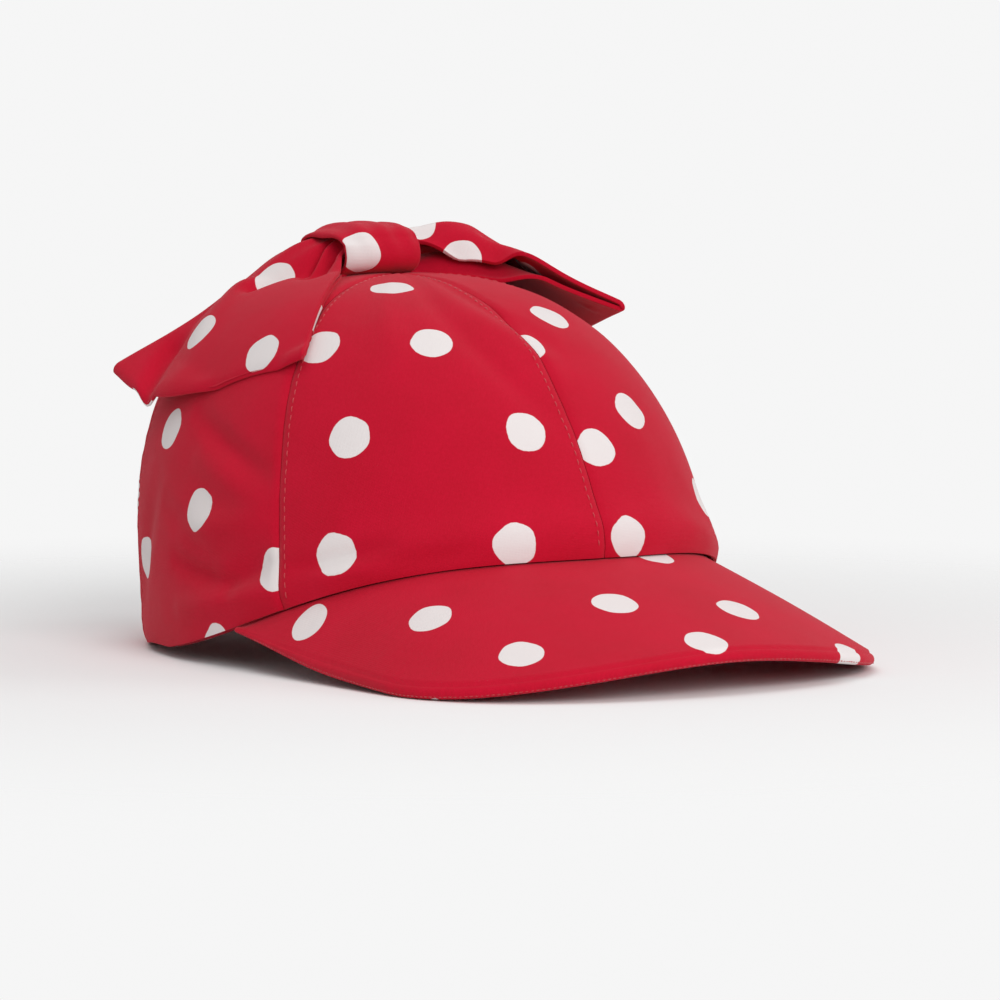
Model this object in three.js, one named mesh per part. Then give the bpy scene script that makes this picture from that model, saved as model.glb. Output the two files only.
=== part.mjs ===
// A child's cotton cap: six crown panels, a stiffened visor, a sweatband, a hook-and-loop
// adjuster across the rear opening, and a large ribbon bow on the crown.
// Millimetres, +Z up. The wearer looks along -Y and the wearer's left is +X.
// The origin is the centre of the head opening, in the plane that the cap stands on.
import * as THREE from "three";

// ---------------------------------------------------------------- driving dimensions
const crownHalfLength = 92;      // front to rear, at the widest
const crownHalfWidth = 77.8;
const crownHeight = 108.9;
const apexShift = 17.4;          // the apex stands this far behind the origin
const planRoundness = 2.16;      // exponents of the superellipses: 2 is an ellipse
const frontFullness = 2.58;
const rearFullness = 2.87;
const frontRimHeight = 32.5;     // the visor seam's height at the front
const rimFallAngle = 81;         // degrees from the front where the rim has mostly fallen
const rimFallSharpness = 3.2;
const rimSettle = 0.5;           // lowers the rim so that its rear half lies flat on z = 0

const sideSeamAngle = 68.5;      // degrees from the front
const rearSideSeamAngle = 125;
const apexHole = 4;              // the panels stop this far from the apex, under the bow

const shellThickness = 0.9;      // outer cotton with its fusible backing
const layerGap = 0.4;            // between stacked layers of cloth
const seamGap = 0.3;             // between two panels at their seam
const tapeThickness = 0.6;
const liningRise = 2;            // tapes and stiffeners start this far above the rim
const tapeWidth = 12;
const stiffenerThickness = 0.6;
const sweatbandThickness = 1.1;
const sweatbandHeight = 28;

const openingHalfWidth = 38;     // the rear half-moon
const openingHeight = 48;
const bindingWidth = 8;
const bindingGap = 0.6;          // between the rear panels and their binding
const sweatbandEnd = 48;         // the sweatband stops this far from the centre of the rear

const tabHeight = 18;
const tabRise = 1.5;             // the tabs' lower edge above z = 0
const tabThickness = 0.9;
const hookTabRoot = 38.5;        // distances from the rear centre line
const hookTabTip = 24;
const loopTabTip = 28;
const patchThickness = 0.7;
const patchLength = 32;
const patchMargin = 2;           // cloth left round a patch

const visorProjection = 57.8;    // from the front of the rim to the visor's front edge
const visorCornerDepth = 55;     // from the front edge back to where the visor is widest
const visorFlare = 1.2;          // how far the visor is wider than the crown, each side
const visorRoundness = 2.25;
const visorEndAngle = 79.6;      // degrees from the front where the visor runs out
const visorEndWidth = 1.2;       // what still stands proud of the crown there
const visorFrontLift = 8.2;      // underside of the front edge above z = 0
const visorCornerAt = 0.54;      // share of the half edge where it comes down to z = 0
const visorEndRise = 1.35;       // exponent of the edge's climb back to the rim
const visorCrown = 0.8;          // how much the visor bulges between the seam and its edge
const visorClothThickness = 0.6;
const visorBoardThickness = 1.4;
const visorGap = 0.4;            // between the board and the cloth on either side
const visorSeatGap = 0.6;        // between the visor's inner edge and the sweatband behind it
const visorLip = 0.8;            // width of the top cloth where it turns down over the edge

const bowSetBack = 12.6;         // the bow's centre, behind the apex
const knotHalfWidth = 13;
const knotHalfLength = 13;
const knotRise = 15.1;           // above the apex
const knotRoundness = 3;
const wingRootHalf = 9;          // half the gathered width of a wing at the knot
const wingFrontSpread = 46.5;    // a wing's outer corners, in front of and behind its root
const wingRearSpread = 38;
const wingFrontSpan = 42.5;      // how far those corners stand out from the knot's side
const wingRearSpan = 54;
const wingEdgeBow = 6;           // the outer edge bows outwards between its corners
const wingThickness = 9;
const wingEdgeThickness = 4.5;
// Heights of each wing's upper face, from the apex up: at the knot, at its outer corners,
// the sag of the outer edge between them, and how far its front and rear edges arch
// between the knot and there.
const wingHeights = {
  right: { root: 10.1, front: -17.9, rear: -25.9, sag: 6, archFront: 10, archRear: 1 },
  left: { root: 12.1, front: -9.9, rear: -22.9, sag: 2, archFront: 5, archRear: 3 },
};
const knotClearance = 0.4;
const wingClearance = 0.8;       // over the crown, where the wing drapes along it

const labelWidth = 22;
const labelHeight = 30;
const labelThickness = 0.5;
const labelAngle = 100;          // degrees from the front, on the wearer's left
const labelRise = 6;

// ---------------------------------------------------------------- materials
const cloth = (colour, roughness = 0.85) =>
  new THREE.MeshStandardMaterial({ color: colour, roughness, metalness: 0 });
const redCotton = cloth(0xb8142f);
const redLining = cloth(0xa11a30);
const whiteTape = cloth(0xe8e2dc);
const stiffenerCloth = cloth(0xefece6, 0.9);
const hookNylon = cloth(0xb01a30, 0.7);
const labelSatin = cloth(0xf2f0ec, 0.5);
const boardPlastic = new THREE.MeshStandardMaterial({ color: 0xdcdcd8, roughness: 0.5, metalness: 0 });

// ---------------------------------------------------------------- small helpers
const radians = THREE.MathUtils.degToRad;
const mix = THREE.MathUtils.lerp;
const steps = (count) => Array.from({ length: count + 1 }, (_, index) => index / count);

// The inverse of a rising function on [low, high], by bisection.
function solve(rising, target, low, high) {
  for (let turn = 0; turn < 50; turn += 1) {
    const middle = (low + high) / 2;
    if (rising(middle) < target) low = middle;
    else high = middle;
  }
  return (low + high) / 2;
}

// ---------------------------------------------------------------- the crown's surface
// angle: radians round the head, 0 at the front, positive to the wearer's left.
// height: above z = 0, up to crownHeight.
const fullness = (angle) => mix(frontFullness, rearFullness, (1 - Math.cos(angle)) / 2);

function surface(angle, height) {
  const share = Math.min(Math.max(height / crownHeight, 0), 1);
  const power = fullness(angle);
  const radius = Math.pow(1 - Math.pow(share, power), 1 / power);
  const c = Math.cos(angle);
  const s = Math.sin(angle);
  const round = Math.pow(
    Math.pow(Math.abs(c), planRoundness) + Math.pow(Math.abs(s), planRoundness),
    -1 / planRoundness,
  );
  return new THREE.Vector3(
    crownHalfWidth * radius * s * round,
    -crownHalfLength * radius * c * round + apexShift * share,
    crownHeight * share,
  );
}

// The meridian at one angle, as points from the given height to the edge of the apex hole.
const meridianSamples = 160;
function meridian(angle, bottom, stop) {
  const points = [];
  for (let index = 0; index <= meridianSamples; index += 1) {
    const turn = (index / meridianSamples) * (Math.PI / 2);
    points.push(surface(angle, mix(bottom, crownHeight, Math.sin(turn))));
  }
  const apex = points.at(-1);
  const lengths = [0];
  for (let index = 1; index < points.length; index += 1) {
    lengths.push(lengths[index - 1] + points[index].distanceTo(points[index - 1]));
  }
  const total = lengths.findLast((_, index) => points[index].distanceTo(apex) >= stop);
  return (share) => {
    const wanted = total * share;
    const next = Math.max(1, lengths.findIndex((length) => length >= wanted));
    const part = (wanted - lengths[next - 1]) / (lengths[next] - lengths[next - 1]);
    return mix(points[next - 1].z, points[next].z, part);
  };
}

// A point `depth` inside the surface, along its normal. A negative depth is outside.
const smallAngle = 1e-3;
const smallRise = 0.05;
function inside(angle, height, depth) {
  const around = surface(angle + smallAngle, height).sub(surface(angle - smallAngle, height));
  const low = Math.max(height - smallRise, 0);
  const up = surface(angle, low + 2 * smallRise).sub(surface(angle, low));
  const normal = around.cross(up).normalize();
  return surface(angle, height).addScaledVector(normal, -depth);
}

// The same point where the cloth is cut level, so that a lower edge is flat.
function levelCut(angle, height, depth) {
  const point = inside(angle, height, depth);
  return point.setZ(height);
}

// The rim: the visor seam at the front, flat on z = 0 round the rear half.
function rimHeight(angle) {
  const share = Math.abs(THREE.MathUtils.radToDeg(angle)) / rimFallAngle;
  const fall = Math.exp(-Math.pow(share, rimFallSharpness));
  return Math.max((frontRimHeight + rimSettle) * fall - rimSettle, 0);
}

// How far round the head a distance of `x` from the rear centre line is, at a height.
function rearAngle(x, height) {
  const away = solve((turn) => Math.abs(surface(Math.PI - turn, height).x), Math.abs(x), 0, Math.PI / 2);
  return Math.sign(x) * (Math.PI - away);
}

// The panels' lower edge: the rim, and over the rear opening its half-moon.
function lowerEdge(angle) {
  const x = Math.abs(surface(angle, 0).x);
  if (Math.cos(angle) > 0 || x >= openingHalfWidth) return rimHeight(angle);
  return openingHeight * Math.sqrt(1 - (x / openingHalfWidth) ** 2);
}

// ---------------------------------------------------------------- closed solids
// Two grids of points, face to face, joined round their border into one closed body.
function slab(front, back) {
  const rows = front.length;
  const columns = front[0].length;
  const positions = [...front.flat(), ...back.flat()].flatMap((point) => point.toArray());
  const at = (side, row, column) => side * rows * columns + row * columns + column;
  const index = [];
  const quad = (a, b, c, d) => index.push(a, b, c, a, c, d);
  for (let row = 0; row < rows - 1; row += 1) {
    for (let column = 0; column < columns - 1; column += 1) {
      const corners = (side) => [
        at(side, row, column), at(side, row, column + 1),
        at(side, row + 1, column + 1), at(side, row + 1, column),
      ];
      quad(...corners(0));
      const [a, b, c, d] = corners(1);
      index.push(a, c, b, a, d, c);
    }
  }
  const wall = (row, column, nextRow, nextColumn) =>
    quad(at(0, nextRow, nextColumn), at(0, row, column), at(1, row, column), at(1, nextRow, nextColumn));
  for (let column = 0; column < columns - 1; column += 1) {
    wall(0, column, 0, column + 1);
    wall(rows - 1, column + 1, rows - 1, column);
  }
  for (let row = 0; row < rows - 1; row += 1) {
    wall(row + 1, 0, row, 0);
    wall(row, columns - 1, row + 1, columns - 1);
  }
  const geometry = new THREE.BufferGeometry();
  geometry.setAttribute("position", new THREE.Float32BufferAttribute(positions, 3));
  geometry.setIndex(facingOut(positions, index));
  geometry.computeVertexNormals();
  return geometry;
}

// Turns every face over when the body's signed volume is negative.
function facingOut(positions, index) {
  const corner = (number) => new THREE.Vector3().fromArray(positions, 3 * number);
  let volume = 0;
  for (let face = 0; face < index.length; face += 3) {
    const [a, b, c] = index.slice(face, face + 3).map(corner);
    volume += a.dot(b.cross(c));
  }
  if (volume > 0) return index;
  return index.map((_, place) => index[place - (place % 3) + 2 - (place % 3)]);
}

// A slab between two depths of the crown's surface, on the rows that every panel shares, so
// that stacked layers nest. It starts `rise` over the panels' lower edge and ends at row
// `lastRow`. angleAt gives the angle of a column, at a share of the meridian.
const panelRows = 14;
const shortestRow = 1;
const meridianHeight = (angle, up) => meridian(angle, lowerEdge(angle), apexHole)(up);
function crownSlab({ columns, lastRow = panelRows, angleAt, rise = 0, depth, thickness }) {
  const middle = angleAt(0.5, 0);
  const start = lowerEdge(middle) + rise + shortestRow;
  const shares = steps(panelRows).slice(1, lastRow + 1);
  const kept = shares.filter((up) => meridianHeight(middle, up) > start);
  const layer = (d) => [0, ...kept].map((up) => steps(columns).map((across) => {
    const angle = angleAt(across, up);
    if (up === 0) return levelCut(angle, lowerEdge(angle) + rise, d);
    return inside(angle, meridianHeight(angle, up), d);
  }));
  return slab(layer(depth), layer(depth + thickness));
}

const group = new THREE.Group();
function add(name, geometry, material) {
  const mesh = new THREE.Mesh(geometry, material);
  mesh.name = name;
  group.add(mesh);
}
const sides = [["right", -1], ["left", 1]];

// The angle that lies `shift` mm along the surface from a seam, at a height.
function besideSeam(seam, shift, height) {
  const spread = surface(seam + smallAngle, height).distanceTo(surface(seam - smallAngle, height));
  return seam + (shift * 2 * smallAngle) / spread;
}

// ---------------------------------------------------------------- crown panels
const seams = [0, sideSeamAngle, rearSideSeamAngle, 180].map(radians);
function addPanel(name, side, from, to, spread) {
  const angleAt = (across, up) => {
    const start = besideSeam(from, seamGap / 2, meridianHeight(from, up));
    const end = besideSeam(to, -seamGap / 2, meridianHeight(to, up));
    return side * mix(start, end, spread(across));
  };
  add(name, crownSlab({ columns: 10, angleAt, depth: 0, thickness: shellThickness }), redCotton);
}
// Most of the rear panel's columns go where the half-moon climbs steeply.
const openingAngle = rearAngle(openingHalfWidth, 0);
function rearSpread(across) {
  const flat = (openingAngle - seams[2]) / (seams[3] - seams[2]);
  const flatShare = 0.4;
  if (across <= flatShare) return flat * (across / flatShare);
  const turn = ((across - flatShare) / (1 - flatShare)) * (Math.PI / 2);
  return mix(flat, 1, 1 - Math.cos(turn));
}
for (const [name, side] of sides) {
  addPanel(`front_panel_${name}`, side, seams[0], seams[1], (across) => across);
  addPanel(`side_panel_${name}`, side, seams[1], seams[2], (across) => across);
  addPanel(`rear_panel_${name}`, side, seams[2], seams[3], rearSpread);
}

// ---------------------------------------------------------------- inside the crown
const liningDepth = shellThickness + layerGap;

// Seam tapes cover the six seams. The rear one starts over the opening's binding.
const tapeRows = 13;
function addTape(name, seam, rise) {
  const angleAt = (across, up) =>
    besideSeam(seam, mix(-tapeWidth / 2, tapeWidth / 2, across), meridianHeight(seam, up));
  add(name, crownSlab({
    columns: 2, lastRow: tapeRows, angleAt, rise, depth: liningDepth, thickness: tapeThickness,
  }), whiteTape);
}
addTape("seam_tape_front", seams[0], liningRise);
addTape("seam_tape_rear", seams[3], bindingWidth + 2 * layerGap);
for (const [name, side] of sides) {
  addTape(`seam_tape_side_${name}`, side * seams[1], liningRise);
  addTape(`seam_tape_rear_side_${name}`, side * seams[2], liningRise);
}

// Stiffeners stand the two front panels up, between their tapes.
const stiffenerRows = 11;
const stiffenerInset = tapeWidth / 2 + seamGap;
for (const [name, side] of sides) {
  const angleAt = (across, up) => {
    const start = besideSeam(seams[0], stiffenerInset, meridianHeight(seams[0], up));
    const end = besideSeam(seams[1], -stiffenerInset, meridianHeight(seams[1], up));
    return side * mix(start, end, across);
  };
  add(`front_stiffener_${name}`, crownSlab({
    columns: 10, lastRow: stiffenerRows, angleAt, rise: liningRise,
    depth: liningDepth, thickness: stiffenerThickness,
  }), stiffenerCloth);
}

// The sweatband hides the visor's seam allowance at the front and stops beside the opening.
const visorThickness = 2 * visorClothThickness + 2 * visorGap + visorBoardThickness;
const sweatbandDepth = liningDepth + tapeThickness + layerGap;
const sweatbandReach = rearAngle(sweatbandEnd, 0);
const visorShare = (angle) => Math.abs(angle) / radians(visorEndAngle);
const visorDrop = (angle) => THREE.MathUtils.smoothstep(1.25 - visorShare(angle), 0, 0.25);
const sweatbandBottom = (angle) =>
  Math.max(rimHeight(angle) - (visorThickness + visorGap) * visorDrop(angle), 0);
{
  const layer = (depth) => steps(2).map((up) => steps(44).map((across) => {
    const angle = mix(-sweatbandReach, sweatbandReach, across);
    const bottom = sweatbandBottom(angle);
    if (up === 0) return levelCut(angle, bottom, depth);
    return inside(angle, mix(bottom, rimHeight(angle) + sweatbandHeight, up), depth);
  }));
  add("sweatband", slab(layer(sweatbandDepth), layer(sweatbandDepth + sweatbandThickness)), redLining);
}

// A blank care label hangs against the sweatband.
{
  const middle = radians(labelAngle);
  const depth = sweatbandDepth + sweatbandThickness + layerGap;
  const layer = (d) => steps(3).map((up) => steps(3).map((across) => {
    const angle = besideSeam(middle, labelWidth * (across - 0.5), rimHeight(middle));
    return inside(angle, rimHeight(middle) + labelRise + labelHeight * up, d);
  }));
  add("care_label", slab(layer(depth), layer(depth + labelThickness)), labelSatin);
}

// ---------------------------------------------------------------- rear opening
// The binding follows the half-moon on the inside of the rear panels.
const bindingDepth = shellThickness + bindingGap;
{
  const layer = (depth) => steps(2).map((out) => steps(20).map((along) => {
    const turn = Math.PI * along;
    const x = (openingHalfWidth + bindingWidth * out) * Math.cos(turn);
    const z = (openingHeight + bindingWidth * out) * Math.sin(turn);
    const angle = Math.abs(x) < 1e-6 ? Math.PI : rearAngle(x, z);
    return inside(angle, z, depth);
  }));
  add("rear_opening_binding", slab(layer(bindingDepth), layer(bindingDepth + tapeThickness)), redLining);
}

// A strip across the rear, from one distance off the centre line to another.
function strip(fromX, toX, bottom, top, depth, thickness, columns) {
  const layer = (d) => [bottom, top].map((z) => steps(columns).map((along) => {
    const x = mix(fromX, toX, along);
    const angle = Math.abs(x) < 1e-6 ? Math.PI : rearAngle(x, z);
    return inside(angle, z, d);
  }));
  return slab(layer(depth), layer(depth + thickness));
}
const tabTop = tabRise + tabHeight;
const hookTabDepth = -(layerGap + tabThickness);
const hookPatchDepth = hookTabDepth + tabThickness + seamGap;
const loopTabDepth = bindingDepth + tapeThickness + seamGap;
const loopPatchDepth = loopTabDepth - seamGap - patchThickness;
const patchBottom = tabRise + patchMargin;
const patchTop = tabTop - patchMargin;
add("hook_tab", strip(-hookTabRoot, hookTabTip, tabRise, tabTop, hookTabDepth, tabThickness, 8), redCotton);
add("hook_patch", strip(hookTabTip - patchMargin - patchLength, hookTabTip - patchMargin,
  patchBottom, patchTop, hookPatchDepth, patchThickness, 4), hookNylon);
add("loop_tab", strip(sweatbandEnd - seamGap, -loopTabTip, tabRise, tabTop, loopTabDepth, tabThickness, 9),
  redCotton);
add("loop_patch", strip(-loopTabTip + patchMargin, hookTabTip - patchMargin,
  patchBottom, patchTop, loopPatchDepth, patchThickness, 6), hookNylon);

// ---------------------------------------------------------------- visor
// The outer edge in plan, from the front centre (0) to the visor's end (1), by its length.
const visorEnd = (() => {
  const angle = radians(visorEndAngle);
  const point = surface(angle, rimHeight(angle));
  return new THREE.Vector2(point.x + visorEndWidth, point.y);
})();
const visorHalfWidth = crownHalfWidth + visorFlare;
const visorReach = visorProjection - surface(0, rimHeight(0)).y;
const visorWidestAt = visorReach - visorCornerDepth;
const edgePath = (() => {
  const points = steps(60).map((share) => {
    const turn = (share * Math.PI) / 2;
    return new THREE.Vector2(
      visorHalfWidth * Math.pow(Math.sin(turn), 2 / visorRoundness),
      -visorWidestAt - (visorReach - visorWidestAt) * Math.pow(Math.cos(turn), 2 / visorRoundness),
    );
  });
  for (const share of steps(20).slice(1)) {
    points.push(new THREE.Vector2(
      mix(visorHalfWidth, visorEnd.x, share * share), mix(-visorWidestAt, visorEnd.y, share),
    ));
  }
  return new THREE.CatmullRomCurve3(points.map((point) => new THREE.Vector3(point.x, point.y, 0)));
})();

// The underside of the edge: arched at the front, on z = 0 at the corners.
function edgeUnderside(share) {
  if (share < visorCornerAt) return (visorFrontLift * (1 + Math.cos((Math.PI * share) / visorCornerAt))) / 2;
  const climb = (share - visorCornerAt) / (1 - visorCornerAt);
  const endHeight = rimHeight(radians(visorEndAngle)) - seamGap - visorThickness;
  return endHeight * Math.pow(climb, visorEndRise);
}

// One layer of the visor, a depth below its top face, with its edge drawn in by `inset`.
const visorColumns = 32;
const visorSeamDepth = sweatbandDepth - visorSeatGap;
function visorLayer(depth, rows, trim = 0) {
  const columns = steps(visorColumns).slice(trim, visorColumns + 1 - trim);
  return rows.map(([share, inset]) => columns.map((across) => {
    const signed = 2 * across - 1;
    const angle = signed * radians(visorEndAngle);
    const innerHeight = rimHeight(angle) - seamGap - depth;
    const inner = levelCut(angle, innerHeight, visorSeamDepth);
    const outer = edgePath.getPointAt(Math.abs(signed));
    outer.x *= Math.sign(signed);
    outer.z = edgeUnderside(Math.abs(signed)) + visorThickness - depth;
    const reach = inner.distanceTo(outer);
    const along = share * (1 - Math.min(inset / reach, 0.45));
    const point = inner.clone().lerp(outer, along);
    const bulge = visorCrown * Math.sin(Math.PI * along) * Math.min(reach / 40, 1);
    point.z += bulge;
    return point;
  }));
}
const visorShares = [0, 0.25, 0.5, 0.75, 1];
const visorRows = (inset) => visorShares.map((share) => [share, inset]);
const underDepth = visorThickness - visorClothThickness;
const boardDepth = visorClothThickness + visorGap;
const boardInset = visorLip + visorGap;
const boardTrim = 1;             // columns that the board stops short of the visor's ends
{
  // The top cloth turns down over the board's edge, as a lip that stops over the under cover.
  const upper = visorLayer(0, [...visorRows(visorLip), [1, visorLip / 2], [1, 0]]);
  const flat = visorLayer(visorClothThickness, visorRows(visorLip));
  const lip = visorLayer(underDepth - visorGap, [[1, visorLip], [1, 0]]);
  add("visor_top_cover", slab(upper, [...flat, ...lip]), redCotton);
}
add("visor_board", slab(
  visorLayer(boardDepth, visorRows(boardInset), boardTrim),
  visorLayer(boardDepth + visorBoardThickness, visorRows(boardInset), boardTrim),
), boardPlastic);
add("visor_under_cover", slab(
  visorLayer(underDepth, visorRows(0)),
  visorLayer(visorThickness, visorRows(0)),
), redCotton);

// ---------------------------------------------------------------- bow
// The crown's height under a point of the plan, by closing in on the surface along z.
function crownTop(x, y) {
  const inPlan = (height) => {
    const share = height / crownHeight;
    const behind = y - apexShift * share;
    const angle = Math.atan2(x / crownHalfWidth, -behind / crownHalfLength);
    const power = fullness(angle);
    const radius = Math.pow(Math.pow(Math.abs(x) / crownHalfWidth, planRoundness)
      + Math.pow(Math.abs(behind) / crownHalfLength, planRoundness), 1 / planRoundness);
    return Math.pow(share, power) + Math.pow(radius, power);
  };
  return solve(inPlan, 1, 0, crownHeight);
}

const bowCentreY = apexShift + bowSetBack;
const knotTop = crownHeight + knotRise;

// The knot: a rounded block whose foot follows the crown.
{
  const turns = steps(20).slice(0, -1).map((share) => 2 * Math.PI * share);
  const rim = (turn, size) => {
    const c = Math.cos(turn);
    const s = Math.sin(turn);
    const round = Math.pow(Math.abs(c) ** knotRoundness + Math.abs(s) ** knotRoundness, -1 / knotRoundness);
    return [knotHalfWidth * size * c * round, bowCentreY + knotHalfLength * size * s * round];
  };
  const foot = ([x, y]) => new THREE.Vector3(x, y, crownTop(x, y) + knotClearance);
  const topRings = [[1, 0], [1, 0.45], [0.93, 0.75], [0.75, 0.93], [0.4, 1]];
  const rings = [
    turns.map((turn) => foot(rim(turn, 0.5))),
    ...topRings.map(([size, up]) => turns.map((turn) => {
      const point = foot(rim(turn, size));
      point.z = mix(point.z, knotTop, up);
      return point;
    })),
  ];
  const centre = [foot([0, bowCentreY]), new THREE.Vector3(0, bowCentreY, knotTop)];
  const positions = [...rings.flat(), ...centre].flatMap((point) => point.toArray());
  const count = turns.length;
  const index = [];
  for (let place = 0; place < count; place += 1) {
    const next = (place + 1) % count;
    for (let ring = 0; ring < rings.length - 1; ring += 1) {
      const a = ring * count + place;
      const b = ring * count + next;
      index.push(a, b, b + count, a, b + count, a + count);
    }
    const last = (rings.length - 1) * count;
    index.push(rings.length * count, next, place);
    index.push(rings.length * count + 1, last + place, last + next);
  }
  const geometry = new THREE.BufferGeometry();
  geometry.setAttribute("position", new THREE.Float32BufferAttribute(positions, 3));
  geometry.setIndex(facingOut(positions, index));
  geometry.computeVertexNormals();
  add("bow_knot", geometry, redCotton);
}

// Each wing is a flattened loop of ribbon: a soft wedge that drapes over the crown.
const wingRootX = knotHalfWidth + seamGap;
for (const [name, side] of sides) {
  const { root, front, rear, sag, archFront, archRear } = wingHeights[name];
  const at = (away, across, below) => {
    const bowed = Math.sin(Math.PI * across);
    const reach = wingRootX + mix(wingFrontSpan, wingRearSpan, across) + wingEdgeBow * bowed;
    const rootY = mix(bowCentreY - wingRootHalf, bowCentreY + wingRootHalf, across);
    const edgeY = bowCentreY + mix(-wingFrontSpread, wingRearSpread, across);
    const y = mix(rootY, edgeY, Math.pow(away, 0.85));
    const x = side * mix(wingRootX, reach, away);
    const thickness = mix(wingThickness, wingEdgeThickness, away);
    const edge = mix(front, rear, across) - sag * bowed;
    const arch = mix(archFront, archRear, across) * Math.sin(Math.PI * Math.pow(away, 0.7));
    const top = crownHeight + mix(root, edge, away) + arch;
    const free = crownTop(x, y) + wingClearance;
    const z = below ? Math.max(top - thickness, free) : Math.max(top, free + wingEdgeThickness);
    return new THREE.Vector3(x, y, z);
  };
  const layer = (below) => steps(10).map((away) => steps(15).map((across) => at(away, across, below)));
  add(`bow_wing_${name}`, slab(layer(false), layer(true)), redCotton);
}

export default group;
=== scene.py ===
# %% [markdown]
# # A child's cotton cap with a ribbon bow
# The cap is red poplin printed with white dots: six crown panels, a stiffened visor and a big
# bow. The solids that hold and move it come in first and stay where they are. Each plain
# cloth solid is then replaced by a finer sheet of cloth that is cut, draped and sewn in its
# place. Everything is in metres, the wearer looks along -Y, and the cap stands on z = 0.

import math

import bmesh
import bpy
import numpy as np
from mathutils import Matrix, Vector, noise


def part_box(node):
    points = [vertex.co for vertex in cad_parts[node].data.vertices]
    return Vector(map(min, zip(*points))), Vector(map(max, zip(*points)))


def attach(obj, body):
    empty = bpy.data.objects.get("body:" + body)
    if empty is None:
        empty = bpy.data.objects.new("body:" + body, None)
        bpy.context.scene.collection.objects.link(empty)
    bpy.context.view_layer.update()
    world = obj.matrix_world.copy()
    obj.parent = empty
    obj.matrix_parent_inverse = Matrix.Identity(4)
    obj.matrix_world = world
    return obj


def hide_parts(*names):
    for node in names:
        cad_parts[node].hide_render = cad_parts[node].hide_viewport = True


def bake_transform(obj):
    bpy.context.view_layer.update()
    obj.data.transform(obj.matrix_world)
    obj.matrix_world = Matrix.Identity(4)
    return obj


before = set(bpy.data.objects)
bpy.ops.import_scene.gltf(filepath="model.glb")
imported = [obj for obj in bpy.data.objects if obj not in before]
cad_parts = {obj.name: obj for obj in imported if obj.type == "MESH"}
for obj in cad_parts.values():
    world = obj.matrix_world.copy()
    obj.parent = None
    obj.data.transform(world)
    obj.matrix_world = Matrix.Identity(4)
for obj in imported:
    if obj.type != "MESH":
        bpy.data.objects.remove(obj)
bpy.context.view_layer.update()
mm = 0.001

# %% [markdown]
# ## Camera
# A long lens from a metre and a half away keeps the cap's proportions calm. It stands to the
# right of the wearer's face, barely above the visor. The camera comes first, because it
# decides which folds and stitches have to be right.

# %% The camera
camera_turn = math.radians(-34.9)
camera_rise = math.radians(4.0)
camera_distance = 1.455
camera_lens = 179.6
aim_right = 0.0198
aim_down = 0.0117
level_back = Vector((math.sin(camera_turn), -math.cos(camera_turn), 0))
camera_back = math.cos(camera_rise) * level_back + Vector((0, 0, math.sin(camera_rise)))
camera_right = Vector((math.cos(camera_turn), math.sin(camera_turn), 0))
middle_of_cap = Vector((0, 0, 0.055))
camera_target = middle_of_cap + aim_right * camera_right - Vector((0, 0, aim_down))
camera = bpy.data.objects.new("camera", bpy.data.cameras.new("camera"))
camera.data.lens = camera_lens
camera.location = middle_of_cap + camera_distance * camera_back
camera.rotation_mode = "QUATERNION"
camera.rotation_quaternion = (camera_target - camera.location).to_track_quat("-Z", "Y")
bpy.context.scene.collection.objects.link(camera)
bpy.context.scene.camera = camera
print("camera at", [round(c, 3) for c in camera.location])

# %% [markdown]
# ## Light and floor
# Printed cotton looks best in broad, soft light: a large lamp near the camera fills the front,
# one overhead models the bow, and a pale world fills the shadows. The floor is pale and fades
# into the backdrop's colour, so that only the cap's own shadow shows on it.

# %% The studio
backdrop_level = 0.92
floor_level = 0.925
fill_strength = 0.42
scene = bpy.context.scene
scene.view_settings.view_transform = "Standard"


def softbox(name, place, size, watts):
    lamp = bpy.data.lights.new(name, "AREA")
    lamp.shape = "DISK"
    lamp.size = size
    lamp.energy = watts
    lamp_object = bpy.data.objects.new(name, lamp)
    lamp_object.location = place
    lamp_object.rotation_euler = (Vector(place) - middle_of_cap).to_track_quat("Z", "Y").to_euler()
    scene.collection.objects.link(lamp_object)


softbox("front_lamp", (-0.35, -1.5, 0.75), 1.1, 13.2)
softbox("top_lamp", (-0.2, 0.1, 1.5), 1.3, 6.5)
softbox("side_lamp", (1.3, -0.7, 0.7), 0.9, 4)


def add(tree, kind, inputs, **settings):
    """A shader node with its settings. Each input, by its name or number, is a value or a socket."""
    made = tree.nodes.new("ShaderNode" + kind)
    for name, value in settings.items():
        setattr(made, name, value)
    for name, value in inputs.items():
        if isinstance(value, bpy.types.NodeSocket):
            tree.links.new(value, made.inputs[name])
        else:
            made.inputs[name].default_value = value
    return made


def larger(tree, one, other):
    return add(tree, "Math", {0: one, 1: other}, operation="MAXIMUM").outputs[0]


def seen_directly(tree):
    """1 for the rays that show the backdrop: from the camera, in gloss or through glass."""
    path = add(tree, "LightPath", {}).outputs
    direct = larger(tree, path["Is Camera Ray"], path["Is Glossy Ray"])
    return larger(tree, direct, path["Is Transmission Ray"])


def grey(level):
    return (level, level, level, 1)


world = bpy.data.worlds.new("studio")
scene.world = world
world.use_nodes = True
world_tree = world.node_tree
world_tree.nodes.clear()
fill_light = add(world_tree, "Background", {"Color": grey(1), "Strength": fill_strength}).outputs[0]
backdrop = add(world_tree, "Background", {"Color": grey(backdrop_level)}).outputs[0]
world_mix = add(world_tree, "MixShader", {"Fac": seen_directly(world_tree), 1: fill_light, 2: backdrop})
add(world_tree, "OutputWorld", {"Surface": world_mix.outputs[0]})

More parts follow.
